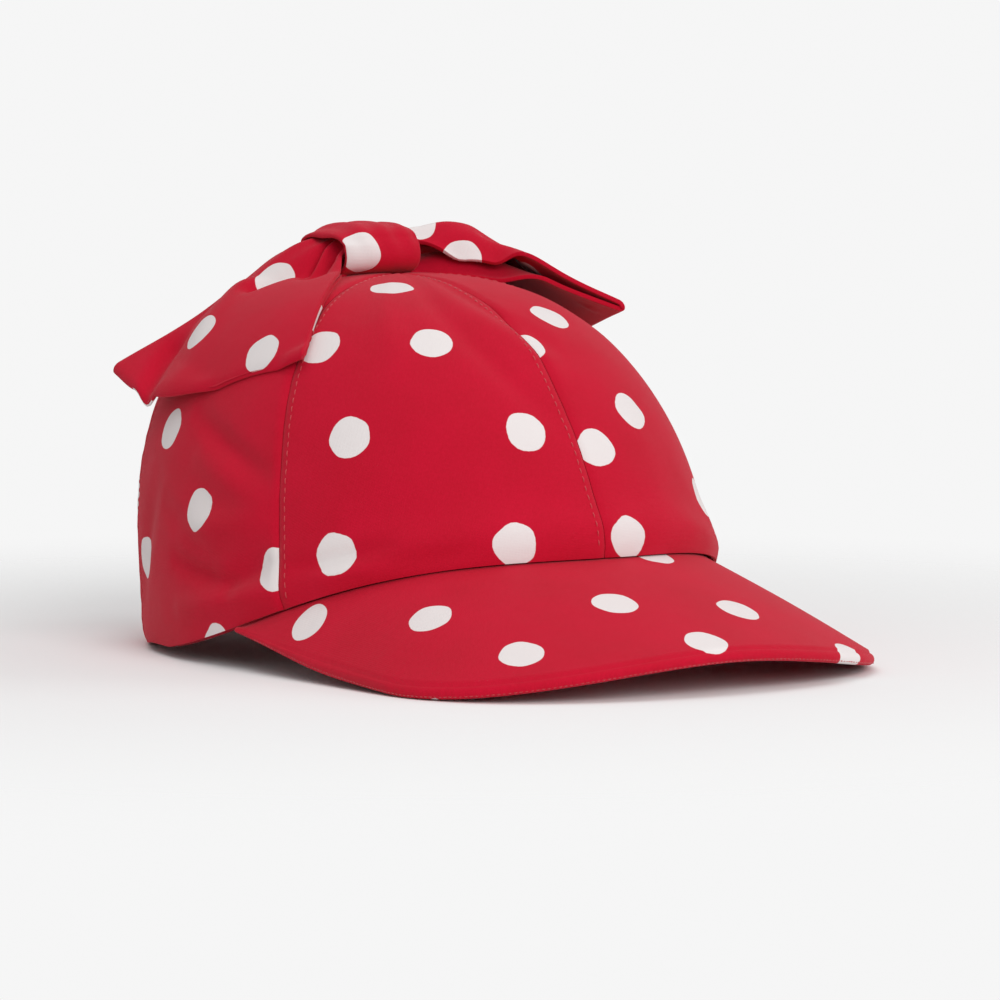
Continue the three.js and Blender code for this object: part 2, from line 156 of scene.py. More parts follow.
# %% The floor
floor_half = 3.0
floor_drop = 0.0002
shadow_reach = 0.12
fade_end = 0.42
floor_mesh = bpy.data.meshes.new("floor")
floor_corners = [(x * floor_half, y * floor_half, 0) for x, y in ((-1, -1), (1, -1), (1, 1), (-1, 1))]
floor_mesh.from_pydata(floor_corners, [], [(0, 1, 2, 3)])
floor = bpy.data.objects.new("floor", floor_mesh)
floor.location.z = -floor_drop
scene.collection.objects.link(floor)

floor_finish = bpy.data.materials.new("floor")
floor_finish.use_nodes = True
floor_tree = floor_finish.node_tree
floor_tree.nodes.clear()
floor_place = add(floor_tree, "TexCoord", {}).outputs["Object"]
floor_away = add(floor_tree, "VectorMath", {0: floor_place}, operation="LENGTH").outputs["Value"]
floor_ends = {"Value": floor_away, "From Min": shadow_reach, "From Max": fade_end}
floor_fade = add(floor_tree, "MapRange", floor_ends, interpolation_type="SMOOTHSTEP")
floor_pale = add(floor_tree, "BsdfDiffuse", {"Color": grey(floor_level)}).outputs[0]
floor_gone = add(floor_tree, "BsdfTransparent", {}).outputs[0]
floor_mix = add(floor_tree, "MixShader", {"Fac": floor_fade.outputs["Result"], 1: floor_pale, 2: floor_gone})
add(floor_tree, "OutputMaterial", {"Surface": floor_mix.outputs[0]})
floor_mesh.materials.append(floor_finish)
print("studio: 3 lamps, floor of", 2 * floor_half, "m")

# %% [markdown]
# ## Finishes
# Poplin is a fine plain weave, about 25 threads to the centimetre, with a soft surface that
# catches light at grazing angles. So the finish is a rough shader with a little sheen, a weave
# of two crossed waves in the bump, and slow noise for the wrinkles that pressing leaves. The
# dots are pigment printed on top: each sheet carries its distance to the nearest dot's
# centre, and the finish turns that distance into white, with a hand-cut wobble.

# %% Colours
def linear(red, green, blue):
    """A colour written as it looks on a screen, 0 to 255, as Blender wants it."""
    def one(value):
        share = value / 255
        return share / 12.92 if share <= 0.04045 else ((share + 0.055) / 1.055) ** 2.4
    return (one(red), one(green), one(blue), 1)


poplin_red = linear(200, 8, 46)
poplin_shade = linear(188, 4, 38)
dot_white = linear(233, 226, 225)
# The dots' colour where the weave's hollows take painted shade.
dot_in_painted_shade = linear(222, 190, 194)
lining_red = linear(176, 18, 42)
thread_red = linear(200, 34, 50)
dot_radius = 6.1 * mm
dot_wobble = 1.6 * mm


# %% A cloth finish
def new_finish(name):
    finish = bpy.data.materials.new(name)
    finish.use_nodes = True
    return finish, finish.node_tree, finish.node_tree.nodes["Principled BSDF"]


def darkened(colour, share):
    return tuple(share * part for part in colour[:3]) + (1,)


def mixed(tree, share, first, second):
    """The first colour where share is 0, and the second where it is 1."""
    mixer = add(tree, "Mix", {"Factor": share, "A": first, "B": second}, data_type="RGBA")
    return mixer.outputs["Result"]


def ranged(tree, value, to_low=0, to_high=1, low=0, high=1, **settings):
    """The value, carried from the range low to high over to the range to_low to to_high."""
    ends = {"From Min": low, "From Max": high, "To Min": to_low, "To Max": to_high}
    return add(tree, "MapRange", {"Value": value, **ends}, **settings).outputs["Result"]


def scaled_sum(tree, value, factor, other):
    return add(tree, "Math", {0: value, 1: factor, 2: other}, operation="MULTIPLY_ADD").outputs[0]


def threads(tree, flat, pitch):
    """Crossed threads of a plain weave: two rows of waves, one along each way of the cloth."""
    wave = {"Vector": flat, "Scale": math.pi / (10 * pitch), "Distortion": 1.5, "Detail": 1,
            "Detail Scale": 0.6}
    warp, weft = [add(tree, "TexWave", wave, wave_type="BANDS", bands_direction=way).outputs["Fac"]
                  for way in "XY"]
    return larger(tree, warp, weft)


def uneven(tree, place, scale, detail=3.0):
    return add(tree, "TexNoise", {"Vector": place, "Scale": scale, "Detail": detail}).outputs["Fac"]


def cloth_finish(name, colour, shade, dotted=False, pitch=0.42 * mm, roughness=0.82, sheen=0.09,
                 wrinkle=0.5 * mm, weave=0.08 * mm):
    finish, tree, shader = new_finish(name)
    flat = add(tree, "UVMap", {}, uv_map="cloth").outputs["UV"]
    weave_height = threads(tree, flat, pitch)
    cloud = uneven(tree, flat, 45)
    fibre = uneven(tree, flat, 900, 1)
    tone = ranged(tree, scaled_sum(tree, fibre, 0.5, cloud), low=0.45, high=1.05)
    dyed = mixed(tree, tone, shade, colour)

    # The hollows between threads are painted a little darker than their tops: painted shade in the weave.
    painted_hollow_shade = ranged(tree, weave_height, 0.16, 0, high=0.5)
    shown = mixed(tree, painted_hollow_shade, dyed, darkened(shade, 0.5))

    if dotted:
        away = add(tree, "Attribute", {}, attribute_name="dot_distance").outputs["Fac"]
        wobbly = scaled_sum(tree, uneven(tree, flat, 170, 0), dot_wobble, away)
        printed = ranged(tree, wobbly, 1, 0, dot_radius + 0.7 * mm, dot_radius + 0.95 * mm,
                         interpolation_type="SMOOTHSTEP")
        # In the weave's hollows the dots take a painted shade too.
        shown = mixed(tree, printed, shown, mixed(tree, painted_hollow_shade, dot_white, dot_in_painted_shade))
    tree.links.new(shown, shader.inputs["Base Color"])
    tree.links.new(ranged(tree, cloud, roughness - 0.06, roughness + 0.08), shader.inputs["Roughness"])
    shader.inputs["Specular IOR Level"].default_value = 0.16
    shader.inputs["Sheen Weight"].default_value = sheen
    shader.inputs["Sheen Roughness"].default_value = 0.45
    shader.inputs["Sheen Tint"].default_value = (1, 0.86, 0.86, 1)

    creased = add(tree, "Bump", {"Strength": 0.6, "Distance": wrinkle, "Height": uneven(tree, flat, 75, 2)})
    woven = add(tree, "Bump", {"Strength": 0.5, "Distance": weave, "Height": weave_height,
                               "Normal": creased.outputs["Normal"]})
    tree.links.new(woven.outputs["Normal"], shader.inputs["Normal"])
    return finish


printed_poplin = cloth_finish("printed_poplin", poplin_red, poplin_shade, dotted=True)
plain_poplin = cloth_finish("plain_poplin", lining_red, linear(160, 12, 34))
tape_cotton = cloth_finish("tape_cotton", linear(232, 226, 220), linear(216, 208, 200), pitch=0.8 * mm,
                           weave=0.2 * mm)
buckram = cloth_finish("buckram", linear(236, 233, 226), linear(222, 217, 206), pitch=1.1 * mm,
                       roughness=0.9, sheen=0, weave=0.3 * mm)
label_satin = cloth_finish("label_satin", linear(243, 241, 236), linear(232, 229, 222), pitch=0.25 * mm,
                           roughness=0.45, sheen=0.05, weave=0.03 * mm)


# %% Thread, hook and loop, and the visor's board
def small_finish(name, colour, roughness, grain_scale, grain_height, sheen=0.0):
    """A finish whose grain doesn't depend on how the piece was cut: thread, nylon or plastic."""
    finish, tree, shader = new_finish(name)
    grain = uneven(tree, add(tree, "TexCoord", {}).outputs["Object"], grain_scale)
    tree.links.new(mixed(tree, grain, darkened(colour, 0.72), colour), shader.inputs["Base Color"])
    shader.inputs["Roughness"].default_value = roughness
    shader.inputs["Sheen Weight"].default_value = sheen
    bump = add(tree, "Bump", {"Distance": grain_height, "Height": grain})
    tree.links.new(bump.outputs["Normal"], shader.inputs["Normal"])
    return finish


sewing_thread = small_finish("sewing_thread", thread_red, 0.6, 1800, 0.05 * mm, 0.3)
white_thread = small_finish("white_thread", linear(240, 236, 230), 0.6, 1800, 0.05 * mm, 0.3)
nylon_hooks = small_finish("nylon_hooks", linear(168, 20, 42), 0.5, 1500, 0.2 * mm)
nylon_loops = small_finish("nylon_loops", linear(184, 26, 50), 0.95, 700, 0.6 * mm, 0.6)
board_plastic = small_finish("board_plastic", linear(222, 222, 218), 0.45, 260, 0.05 * mm)
print("finishes:", [m.name for m in bpy.data.materials])

# %% [markdown]
# ## Cloth as a sheet with two faces
# Real cloth has a thickness, and it shows at every hem and opening. So each sheet is made from
# two grids of points, the face and the back, with a wall of faces round the border. A bevel
# turns the cut border into the soft fold of a hem.

# %% From two grids to one sheet
far_from_dots = 1.0


def border_of(rows, columns, wraps):
    """The border's grid points, as closed runs, in order."""
    if wraps:
        return [[(0, c) for c in range(columns)], [(rows - 1, c) for c in reversed(range(columns))]]
    run = [(0, c) for c in range(columns)]
    run += [(r, columns - 1) for r in range(1, rows)]
    run += [(rows - 1, c) for c in reversed(range(columns - 1))]
    run += [(r, 0) for r in reversed(range(1, rows - 1))]
    return [run]


def sheet_mesh(name, face, back, flat, distance=None, wraps=False):
    """One closed mesh from two grids of the same shape. `flat` is each point's place on the
    uncut cloth, and `distance` how far the face's points are from the nearest printed dot."""
    rows, columns = face.shape[:2]
    count = rows * columns
    points = np.concatenate([face.reshape(-1, 3), back.reshape(-1, 3)])
    faces = []
    last_column = columns if wraps else columns - 1
    for row in range(rows - 1):
        for column in range(last_column):
            a = row * columns + column
            b = row * columns + (column + 1) % columns
            faces.append((a, b, b + columns, a + columns))
            faces.append(tuple(count + i for i in (a, a + columns, b + columns, b)))
    for run in border_of(rows, columns, wraps):
        numbers = [r * columns + c for r, c in run]
        for here, after in zip(numbers, numbers[1:] + numbers[:1]):
            faces.append((after, here, here + count, after + count))
    mesh = bpy.data.meshes.new(name)
    mesh.from_pydata(points.tolist(), [], faces)
    flat_places = np.tile(flat.reshape(-1, 2), (2, 1))
    cloth_map = mesh.uv_layers.new(name="cloth")
    corners = np.zeros(len(mesh.loops), dtype=int)
    mesh.loops.foreach_get("vertex_index", corners)
    cloth_map.data.foreach_set("uv", flat_places[corners].ravel())
    if distance is not None:
        dots = mesh.attributes.new("dot_distance", "FLOAT", "POINT")
        dots.data.foreach_set("value", distance.ravel())
    work = bmesh.new()
    work.from_mesh(mesh)
    bmesh.ops.recalc_face_normals(work, faces=work.faces)
    work.to_mesh(mesh)
    work.free()
    mesh.polygons.foreach_set("use_smooth", [True] * len(mesh.polygons))
    return mesh


def on_face_only(distance):
    """Distances to the dots for a sheet whose back isn't printed."""
    return np.stack([distance, np.full_like(distance, far_from_dots)])


def place_piece(name, mesh, finish, body, stands_for=()):
    mesh.materials.append(finish)
    piece = bpy.data.objects.new(name + "_cloth" if stands_for else name, mesh)
    scene.collection.objects.link(piece)
    if body:
        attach(piece, body)
    if stands_for:
        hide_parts(*stands_for)
    return piece


def soften_edges(piece, width):
    bevel = piece.modifiers.new("hem", "BEVEL")
    bevel.width = width
    bevel.segments = 2
    bevel.limit_method = "ANGLE"
    bevel.angle_limit = math.radians(60)


def run_lengths(points):
    """How far along a line of points each one is."""
    return np.concatenate([[0], np.cumsum(np.linalg.norm(np.diff(points, axis=0), axis=1))])


def flat_places(grid):
    """Each grid point's place on the flat cloth, measured along its row from the middle
    column and along the middle column from the first row."""
    steps_across = np.linalg.norm(np.diff(grid, axis=1), axis=2)
    across = np.concatenate([np.zeros((len(grid), 1)), np.cumsum(steps_across, axis=1)], axis=1)
    across -= across[:, [grid.shape[1] // 2]]
    along = run_lengths(grid[:, grid.shape[1] // 2])
    return np.stack([across, np.broadcast_to(along[:, None], across.shape)], axis=2)


def normals_of(grid):
    """The unit normals of a grid of points."""
    across = np.gradient(grid, axis=1)
    along = np.gradient(grid, axis=0)
    normal = np.cross(across, along)
    return normal / np.maximum(np.linalg.norm(normal, axis=2, keepdims=True), 1e-12)


# %% [markdown]
# ## The crown's shape
# All six panels, the tapes and the sweatband follow one surface: a superellipse dome whose
# apex stands behind the middle of the head. A place on it is an angle round the head, 0 at
# the front and positive towards the wearer's left, and a height. The sizes are those of the
# solids, so a cloth grid lies exactly where its solid does.

# %% The dome
half_length = 92 * mm
half_width = 77.8 * mm
height = 108.9 * mm
apex_shift = 17.4 * mm
plan_roundness = 2.16
front_fullness = 2.58
rear_fullness = 2.87
rim_height = 33 * mm
rim_settle = 0.5 * mm
rim_fall_angle = 81
rim_fall_sharpness = 3.2
hem_lift = 2.8 * mm
hem_lift_middle = 102
hem_lift_spread = 22
opening_half_width = 38 * mm
opening_height = 48 * mm
apex_hole = 0.7 * mm


def smooth(share):
    share = np.clip(share, 0, 1)
    return share * share * (3 - 2 * share)


def dome(angle, z):
    """Points of the dome, from arrays of angles and heights."""
    fullness = front_fullness + (rear_fullness - front_fullness) * (1 - np.cos(angle)) / 2
    share = np.clip(z / height, 0, 1)
    radius = (1 - share ** fullness) ** (1 / fullness)
    c, s = np.cos(angle), np.sin(angle)
    plan = (np.abs(c) ** plan_roundness + np.abs(s) ** plan_roundness) ** (-1 / plan_roundness)
    x = half_width * radius * s * plan
    y = -half_length * radius * c * plan + apex_shift * share
    return np.stack(np.broadcast_arrays(x, y, height * share), axis=-1)


def dome_normal(angle, z):
    small = 1e-3
    low = np.clip(z, 0, height - 0.2 * mm)
    around = dome(angle + small, low) - dome(angle - small, low)
    up = dome(angle, low + 0.1 * mm) - dome(angle, low)
    normal = np.cross(around, up)
    return normal / np.linalg.norm(normal, axis=-1, keepdims=True)


def spread_at(angle, z):
    """How far the cloth runs for each radian round the head."""
    small = 1e-3
    return np.linalg.norm(dome(angle + small, z) - dome(angle - small, z), axis=-1) / (2 * small)


def rim(angle):
    """The height of the crown's lower edge: up over the visor, and a little off the table at the
    sides, between the visor's corners and the back that the cap rests on."""
    degrees = np.abs(np.degrees(angle))
    over_visor = rim_height * np.exp(-(degrees / rim_fall_angle) ** rim_fall_sharpness)
    lifted = hem_lift * np.exp(-((degrees - hem_lift_middle) / hem_lift_spread) ** 4)
    return np.maximum(over_visor - rim_settle, lifted)


def lower_edge(angle):
    """The rim, with the half-moon opening at the rear."""
    x = np.abs(dome(angle, np.zeros_like(angle))[..., 0])
    arch = opening_height * np.sqrt(np.clip(1 - (x / opening_half_width) ** 2, 0, 1))
    return np.where((np.cos(angle) > 0) | (x >= opening_half_width), rim(angle), arch)


def heights_up(angle, shares, bottom):
    """Heights at shares of the way up one meridian, from `bottom` to the apex hole."""
    turn = np.linspace(0, np.pi / 2, 900)
    z = bottom + (height - bottom) * np.sin(turn)
    line = dome(np.full_like(z, angle), z)
    lengths = run_lengths(line)
    kept = np.linalg.norm(line - line[-1], axis=1) >= apex_hole
    return np.interp(shares * lengths[kept][-1], lengths, z)


drift = max(abs(dome(np.array(math.radians(90)), np.array(7.6 * mm))[0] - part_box("side_panel_left")[1].x),
            abs(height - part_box("side_panel_left")[1].z))
print("the dome is within", round(drift / mm, 2), "mm of the solids")

# %% [markdown]
# ## Folds
# A child's cap is soft: the cloth bulges over the visor seam, pulls into every seam, and keeps
# the creases it was packed with. A cloth simulation would move the seams off their places, so
# the folds are listed one by one: each is a ridge or a valley along a line on the dome.

# %% Ridges and valleys on the dome
side_seam = math.radians(68.5)
rear_side_seam = math.radians(125)
seam_angles = (0, side_seam, rear_side_seam, math.pi, -rear_side_seam, -side_seam)
mean_radius = 82 * mm
visor_side = 76
pucker_size = 1.05 * mm

# Each fold: from (degrees, height), to (degrees, height), half width and rise. Heights and
# sizes are in millimetres, and a negative rise is a valley.
folds = [
    ((-71, 54), (-96, 70), 3.5, -2.0), ((-73, 47), (-92, 58), 4.0, 1.2),
    ((-71, 31), (-83, 23), 3.4, -2.3), ((-81, 23), (-99, 28), 3.0, -2.5),
    ((-72, 42), (-96, 37), 4.5, 1.8), ((-69, 23), (-98, 15), 3.2, 1.9), ((-108, 52), (-120, 16), 5.0, -1.3),
    ((-66, 29), (-45, 37), 2.4, -2.2), ((-60, 26), (-40, 33), 2.6, 0.9),
    ((-50, 31), (-28, 36), 2.0, -1.0), ((-29, 105), (-4, 70), 5.0, -1.2),
    ((46, 39), (68, 33), 3.0, -1.7), ((-86, 30), (-104, 44), 3.5, -1.0),
    ((-20, 104), (4, 84), 4.5, 0.9), ((-12, 106), (9, 90), 3.5, -0.8),
    ((-47, 104), (-40, 84), 6.0, 0.7), ((42, 44), (52, 28), 5.0, 1.0),
    ((72, 50), (98, 66), 4.0, -1.3), ((70, 30), (96, 18), 3.5, -1.2),
    ((104, 60), (118, 26), 5.0, -0.9), ((58, 37), (30, 38), 4.0, 0.8),
    ((130, 66), (158, 54), 4.0, -1.1), ((-130, 60), (-156, 56), 4.0, -1.1),
    ((132, 24), (148, 40), 4.5, 0.9), ((-134, 20), (-150, 36), 4.5, 0.9),
    ((160, 92), (176, 62), 5.0, -0.8), ((-164, 88), (-172, 64), 4.5, 0.7),
]


def along_fold(angle, z, start, end, width, rise):
    """How much one fold lifts the cloth at each place: full at its middle, gone at its ends."""
    u, v = angle * mean_radius, z
    u0, v0 = math.radians(start[0]) * mean_radius, start[1] * mm
    u1, v1 = math.radians(end[0]) * mean_radius, end[1] * mm
    length = math.hypot(u1 - u0, v1 - v0)
    along = ((u - u0) * (u1 - u0) + (v - v0) * (v1 - v0)) / length ** 2
    nearest = np.clip(along, 0, 1)
    off = np.hypot(u - u0 - nearest * (u1 - u0), v - v0 - nearest * (v1 - v0))
    taper = np.sin(np.pi * np.clip(0.12 + 0.76 * along, 0, 1))
    return rise * mm * taper * np.exp(-(off / (width * mm)) ** 2)


def soft_noise(points, scale):
    """Slow unevenness from -1 to 1, at each point of a grid, the same on every run."""
    flat = points.reshape(-1, 3) * scale
    return np.array([noise.noise(Vector(p)) for p in flat]).reshape(points.shape[:-1])


def seam_distance(angle, z):
    """How far each place is from the nearest of the six seams, along the cloth."""
    turns = [np.abs((angle - seam + np.pi) % (2 * np.pi) - np.pi) for seam in seam_angles]
    return np.min(turns, axis=0) * spread_at(angle, z)


def hump(place, middle, half_width):
    """1 at the middle, and falling away softly on both sides."""
    return np.exp(-((place - middle) / half_width) ** 2)


def pulled_in(angle, z):
    """The valley that each seam draws, with small puckers beside it."""
    seam = seam_distance(angle, z)
    puckers = np.sin(z / pucker_size) * hump(seam, 2.5 * mm, 2.2 * mm)
    return 0.10 * mm * puckers - 0.75 * mm * hump(seam, 0, 1.1 * mm)


def at_the_rim(angle, z):
    """Over the visor the cloth bulges above its seam, lower down on the wearer's left. Beyond
    the visor the hem rolls in."""
    degrees = np.degrees(angle)
    over_visor = np.exp(-(degrees / visor_side) ** 8)
    left = smooth((degrees - 20) / 25)
    up = (z - rim(angle)) / mm
    bulge = 1.4 * hump(up, 8 - 4.5 * left, 6 - 2 * left) - (0.9 - 0.7 * left) * hump(up, 0, 2.2)
    rolled = 1.3 * hump(z, 0, 2.6 * mm)
    return mm * (bulge * over_visor - rolled * (1 - over_visor))


def drape(angle, z):
    """How far the cloth stands out from the dome."""
    base = dome(angle, z)
    folded = sum(along_fold(angle, z, *fold) for fold in folds)
    rumpled = 0.55 * mm * soft_noise(base, 28) + 0.25 * mm * soft_noise(base, 75)
    return folded + rumpled + pulled_in(angle, z) + at_the_rim(angle, z)


def crown_cloth(angle, z, depth):
    """Points `depth` under the draped outside of the crown."""
    return dome(angle, z) + dome_normal(angle, z) * (drape(angle, z) - depth)[..., None]


print("folds:", len(folds))

# %% [markdown]
# ## Where the dots fall
# The print is a loose scatter of dots a little over 12 mm across, about 40 mm apart. Each panel
# is cut from the cloth where it falls, so a dot may be cut off by a seam, and the neighbour
# doesn't continue it. The front and the wearer's right are listed one by one. The other
# panels take staggered rows, each dot nudged off its place.

# %% The dots of each panel
# Places on the dome: degrees round the head, and millimetres up.
dots_on_crown = {
    "front_panel_right": [(-52.5, 66), (-13, 67.5), (-31, 91.5), (-56, 34), (-21, 37), (-43, 106),
                          (-62.5, 90)],
    "side_panel_right": [(-90, 43.5), (-106, 65), (-117.5, 27), (-69.5, 29), (-86.5, 6), (-84, 87)],
    "front_panel_left": [(21.5, 97.5), (-2, 90.5), (4.6, 62.5), (22, 71.5), (6, 37.5), (44, 45),
                         (52, 80), (61, 52)],
}


def staggered_dots(first_degrees, last_degrees, seed):
    """Rows of dots, every other row shifted by half a step, each dot a little off its place."""
    chance = np.random.default_rng(seed)
    places = []
    for row, row_height in enumerate((16, 46, 75, 97)):
        step = (30, 31, 38, 52)[row]
        start = first_degrees + (0.25 + 0.5 * (row % 2)) * step
        for degrees in np.arange(start, last_degrees + 4, step):
            nudge = chance.uniform(-1, 1, 2)
            places.append((degrees + 3 * nudge[0], row_height + 3.5 * nudge[1]))
    return places


dots_on_crown["side_panel_left"] = staggered_dots(68.5, 125, 4)
dots_on_crown["rear_panel_left"] = staggered_dots(125, 180, 7)
dots_on_crown["rear_panel_right"] = staggered_dots(-180, -125, 11)


def distance_to_dots(points, centres):
    if len(centres) == 0:
        return np.full(points.shape[:-1], far_from_dots)
    gaps = [np.linalg.norm(points - centre, axis=-1) for centre in centres]
    return np.min(gaps, axis=0)


def dome_dots(name):
    degrees, millimetres = np.array(dots_on_crown.get(name, [])).reshape(-1, 2).T
    return dome(np.radians(degrees), millimetres * mm)


print("dots on the crown:", sum(len(places) for places in dots_on_crown.values()))

# %% [markdown]
# ## The six crown panels
# Each panel is a gore: wide at the rim and a point under the bow. The grid runs up meridians,
# so its sides are the seams and its lowest row is the rim or the half-moon. Panels are drawn
# first without folds, to measure the flat cloth they are cut from, and then draped.

# %% Sew the crown
shell_thickness = 0.9 * mm
seam_gap = 0.12 * mm
panel_rows = 84
panel_columns = 56


def gore(start, end, columns, shares, rise=0.0, inset=seam_gap):
    """Angles and heights of a grid between two seams, `inset` in from each of them."""
    across = np.linspace(0, 1, columns)
    middle = start + (end - start) * across
    bottoms = lower_edge(middle) + rise
    z = np.stack([heights_up(a, shares, b) for a, b in zip(middle, bottoms)], axis=1)
    turn = np.sign(end - start) * inset / np.maximum(spread_at(middle, z), 2 * mm)
    return middle + turn * (1 - 2 * across), z


def crown_sheet(name, angle, z, depth, thickness, finish, dots=(), hem=0.15 * mm):
    """A layer of the crown as a piece: its face `depth` under the draped outside."""
    face = crown_cloth(angle, z, depth)
    back = crown_cloth(angle, z, depth + thickness)
    level = z[0]
    for grid in (face, back):
        grid[0, :, 2] = level
    distance = None
    undraped = dome(angle, z)
    if len(dots):
        distance = on_face_only(distance_to_dots(undraped, dots))
    mesh = sheet_mesh(name, face, back, flat_places(undraped), distance)
    piece = place_piece(name, mesh, finish, "crown", [name])
    soften_edges(piece, hem)


panel_seams = {"front": (0, side_seam), "side": (side_seam, rear_side_seam),
               "rear": (rear_side_seam, math.pi)}
for side_name, side in (("right", -1), ("left", 1)):
    for part, (start, end) in panel_seams.items():
        name = f"{part}_panel_{side_name}"
        angle, z = gore(side * start, side * end, panel_columns, np.linspace(0, 1, panel_rows))
        crown_sheet(name, angle, z, 0, shell_thickness, printed_poplin,
                    dome_dots(name), 0.25 * mm)

# %% [markdown]
# ## Stitches
# One thin row of topstitching runs a few millimetres beside each seam and holds the seam
# allowance flat. The thread lies on the cloth between two needle holes and dives at each end,
# so a stitch is a short bent grain of thread. A row of them is one piece.

# %% A row of stitches along any line
def stitch_row(name, line, normals, finish=sewing_thread, body="crown", pitch=2.7 * mm, length=2.0 * mm,
               thick=0.42 * mm):
    """Stitches along a line of points whose normals face away from the cloth."""
    lengths = run_lengths(line)
    starts = np.arange(0.5 * pitch, lengths[-1] - pitch, pitch)
    rings, sides = 6, 6
    share = np.linspace(0, 1, rings)
    turn = np.linspace(0, 2 * np.pi, sides, endpoint=False)
    where = starts[:, None] + share * length

    def sample(values):
        return np.stack([np.interp(where, lengths, values[:, k]) for k in range(3)], axis=-1)

    centre, normal = sample(line), sample(normals)
    ahead = np.gradient(centre, axis=1)
    ahead /= np.linalg.norm(ahead, axis=-1, keepdims=True)
    beside = np.cross(ahead, normal)
    beside /= np.linalg.norm(beside, axis=-1, keepdims=True)
    rise = (0.55 * np.sin(np.pi * share) - 0.4) * thick
    centre = centre + normal * rise[:, None]
    radius = 0.5 * thick * np.sqrt(np.clip(np.sin(np.pi * (0.06 + 0.88 * share)), 0, 1))
    ring = (beside[:, :, None] * np.cos(turn)[:, None] + normal[:, :, None] * np.sin(turn)[:, None])
    points = centre[:, :, None] + ring * radius[:, None, None]
    faces = []
    for stitch in range(len(starts)):
        base = stitch * rings * sides
        for r in range(rings - 1):
            for s in range(sides):
                a, b = base + r * sides + s, base + r * sides + (s + 1) % sides
                faces.append((a, b, b + sides, a + sides))
        faces.append(tuple(base + s for s in reversed(range(sides))))
        faces.append(tuple(base + (rings - 1) * sides + s for s in range(sides)))
    mesh = bpy.data.meshes.new(name)
    mesh.from_pydata(points.reshape(-1, 3).tolist(), [], faces)
    mesh.polygons.foreach_set("use_smooth", [True] * len(mesh.polygons))
    work = bmesh.new()
    work.from_mesh(mesh)
    bmesh.ops.recalc_face_normals(work, faces=work.faces)
    work.to_mesh(mesh)
    work.free()
    return place_piece(name, mesh, finish, body)


def crown_line(angle, z, depth=0.0):
    """A line on the draped crown, with its outward normals."""
    return crown_cloth(angle, z, depth), dome_normal(angle, z)


def beside_seam(seam, shift, z):
    return seam + shift / spread_at(seam, z)


# %% Topstitch the crown's seams
topstitch_shift = 2.6 * mm
seam_rows = {
    "front": (0.0, -topstitch_shift), "side_right": (-side_seam, topstitch_shift),
    "side_left": (side_seam, -topstitch_shift), "rear_side_right": (-rear_side_seam, topstitch_shift),
    "rear_side_left": (rear_side_seam, -topstitch_shift), "rear": (math.pi, topstitch_shift),
}
for row_name, (seam, shift) in seam_rows.items():
    seam_z = heights_up(seam, np.linspace(0.015, 0.93, 400), float(lower_edge(np.array(seam))))
    stitch_row(f"topstitch_{row_name}", *crown_line(beside_seam(seam, shift, seam_z), seam_z))
print("topstitch rows:", len(seam_rows))

# %% [markdown]
# ## Inside the crown
# Seen from below, a cap is all finishing: white tape over the six seams, open-weave stiffener
# behind the two front panels, and a sweatband round the head with a care label sewn to it.
# They follow the same dome, each a step deeper, so that they nest like the real layers.

# %% Tapes and stiffeners
layer_gap = 0.4 * mm
tape_width = 12 * mm
tape_thickness = 0.6 * mm
tape_columns = 9
tape_share = 0.93
stiffener_thickness = 0.6 * mm
stiffener_share = 0.76
lining_rise = 2 * mm
lining_depth = shell_thickness + layer_gap
binding_width = 8 * mm
tapes = {
    "seam_tape_front": (0.0, lining_rise), "seam_tape_rear": (math.pi, binding_width + 2 * layer_gap),
    "seam_tape_side_right": (-side_seam, lining_rise), "seam_tape_side_left": (side_seam, lining_rise),
    "seam_tape_rear_side_right": (-rear_side_seam, lining_rise),
    "seam_tape_rear_side_left": (rear_side_seam, lining_rise),
}
for name, (seam, rise) in tapes.items():
    seam_z = heights_up(seam, np.linspace(0, tape_share, 90), float(lower_edge(np.array(seam))) + rise)
    shifts = np.linspace(-0.5, 0.5, tape_columns) * tape_width
    angle = np.stack([beside_seam(seam, shift, seam_z) for shift in shifts], axis=1)
    z = np.repeat(seam_z[:, None], tape_columns, axis=1)
    crown_sheet(name, angle, z, lining_depth, tape_thickness, tape_cotton)
    for edge_name, shift in (("a", -0.42), ("b", 0.42)):
        line_angle = beside_seam(seam, shift * tape_width, seam_z)
        line, normal = crown_line(line_angle, seam_z, lining_depth + tape_thickness)
        stitch_row(f"{name}_stitch_{edge_name}", line, -normal, white_thread)

for side_name, side in (("right", -1), ("left", 1)):
    angle, z = gore(0, side * side_seam, 36, np.linspace(0, stiffener_share, 50), lining_rise,
                    tape_width / 2 + 0.3 * mm)
    crown_sheet(f"front_stiffener_{side_name}", angle, z, lining_depth, stiffener_thickness, buckram)

# %% The round patch under the apex
patch_radius = 12 * mm
patch_depth = lining_depth + tape_thickness + 0.5 * mm
square = np.linspace(-1, 1, 15)
across, along = np.meshgrid(square, square)
patch_x = patch_radius * across * np.sqrt(1 - along ** 2 / 2)
patch_y = patch_radius * along * np.sqrt(1 - across ** 2 / 2)
patch_share = np.hypot(patch_x, patch_y) / half_width
patch_z = height * (1 - patch_share ** front_fullness) ** (1 / front_fullness) - patch_depth
patch_face = np.stack([patch_x, apex_shift + patch_y, patch_z], axis=-1)
patch_back = patch_face - np.array([0, 0, tape_thickness])
patch_mesh = sheet_mesh("apex_patch", patch_face, patch_back, flat_places(patch_face))
apex_patch = place_piece("apex_patch", patch_mesh, tape_cotton, "crown")
soften_edges(apex_patch, 0.15 * mm)
ring_radius = 0.84 * patch_radius
ring_z = patch_z.max() - tape_thickness - 0.2 * mm
ring = np.array([(ring_radius * math.cos(turn), apex_shift + ring_radius * math.sin(turn), ring_z)
                 for turn in np.linspace(0, 2 * np.pi, 120)])
stitch_row("apex_patch_stitch", ring, np.tile([0, 0, -1.0], (len(ring), 1)), white_thread)

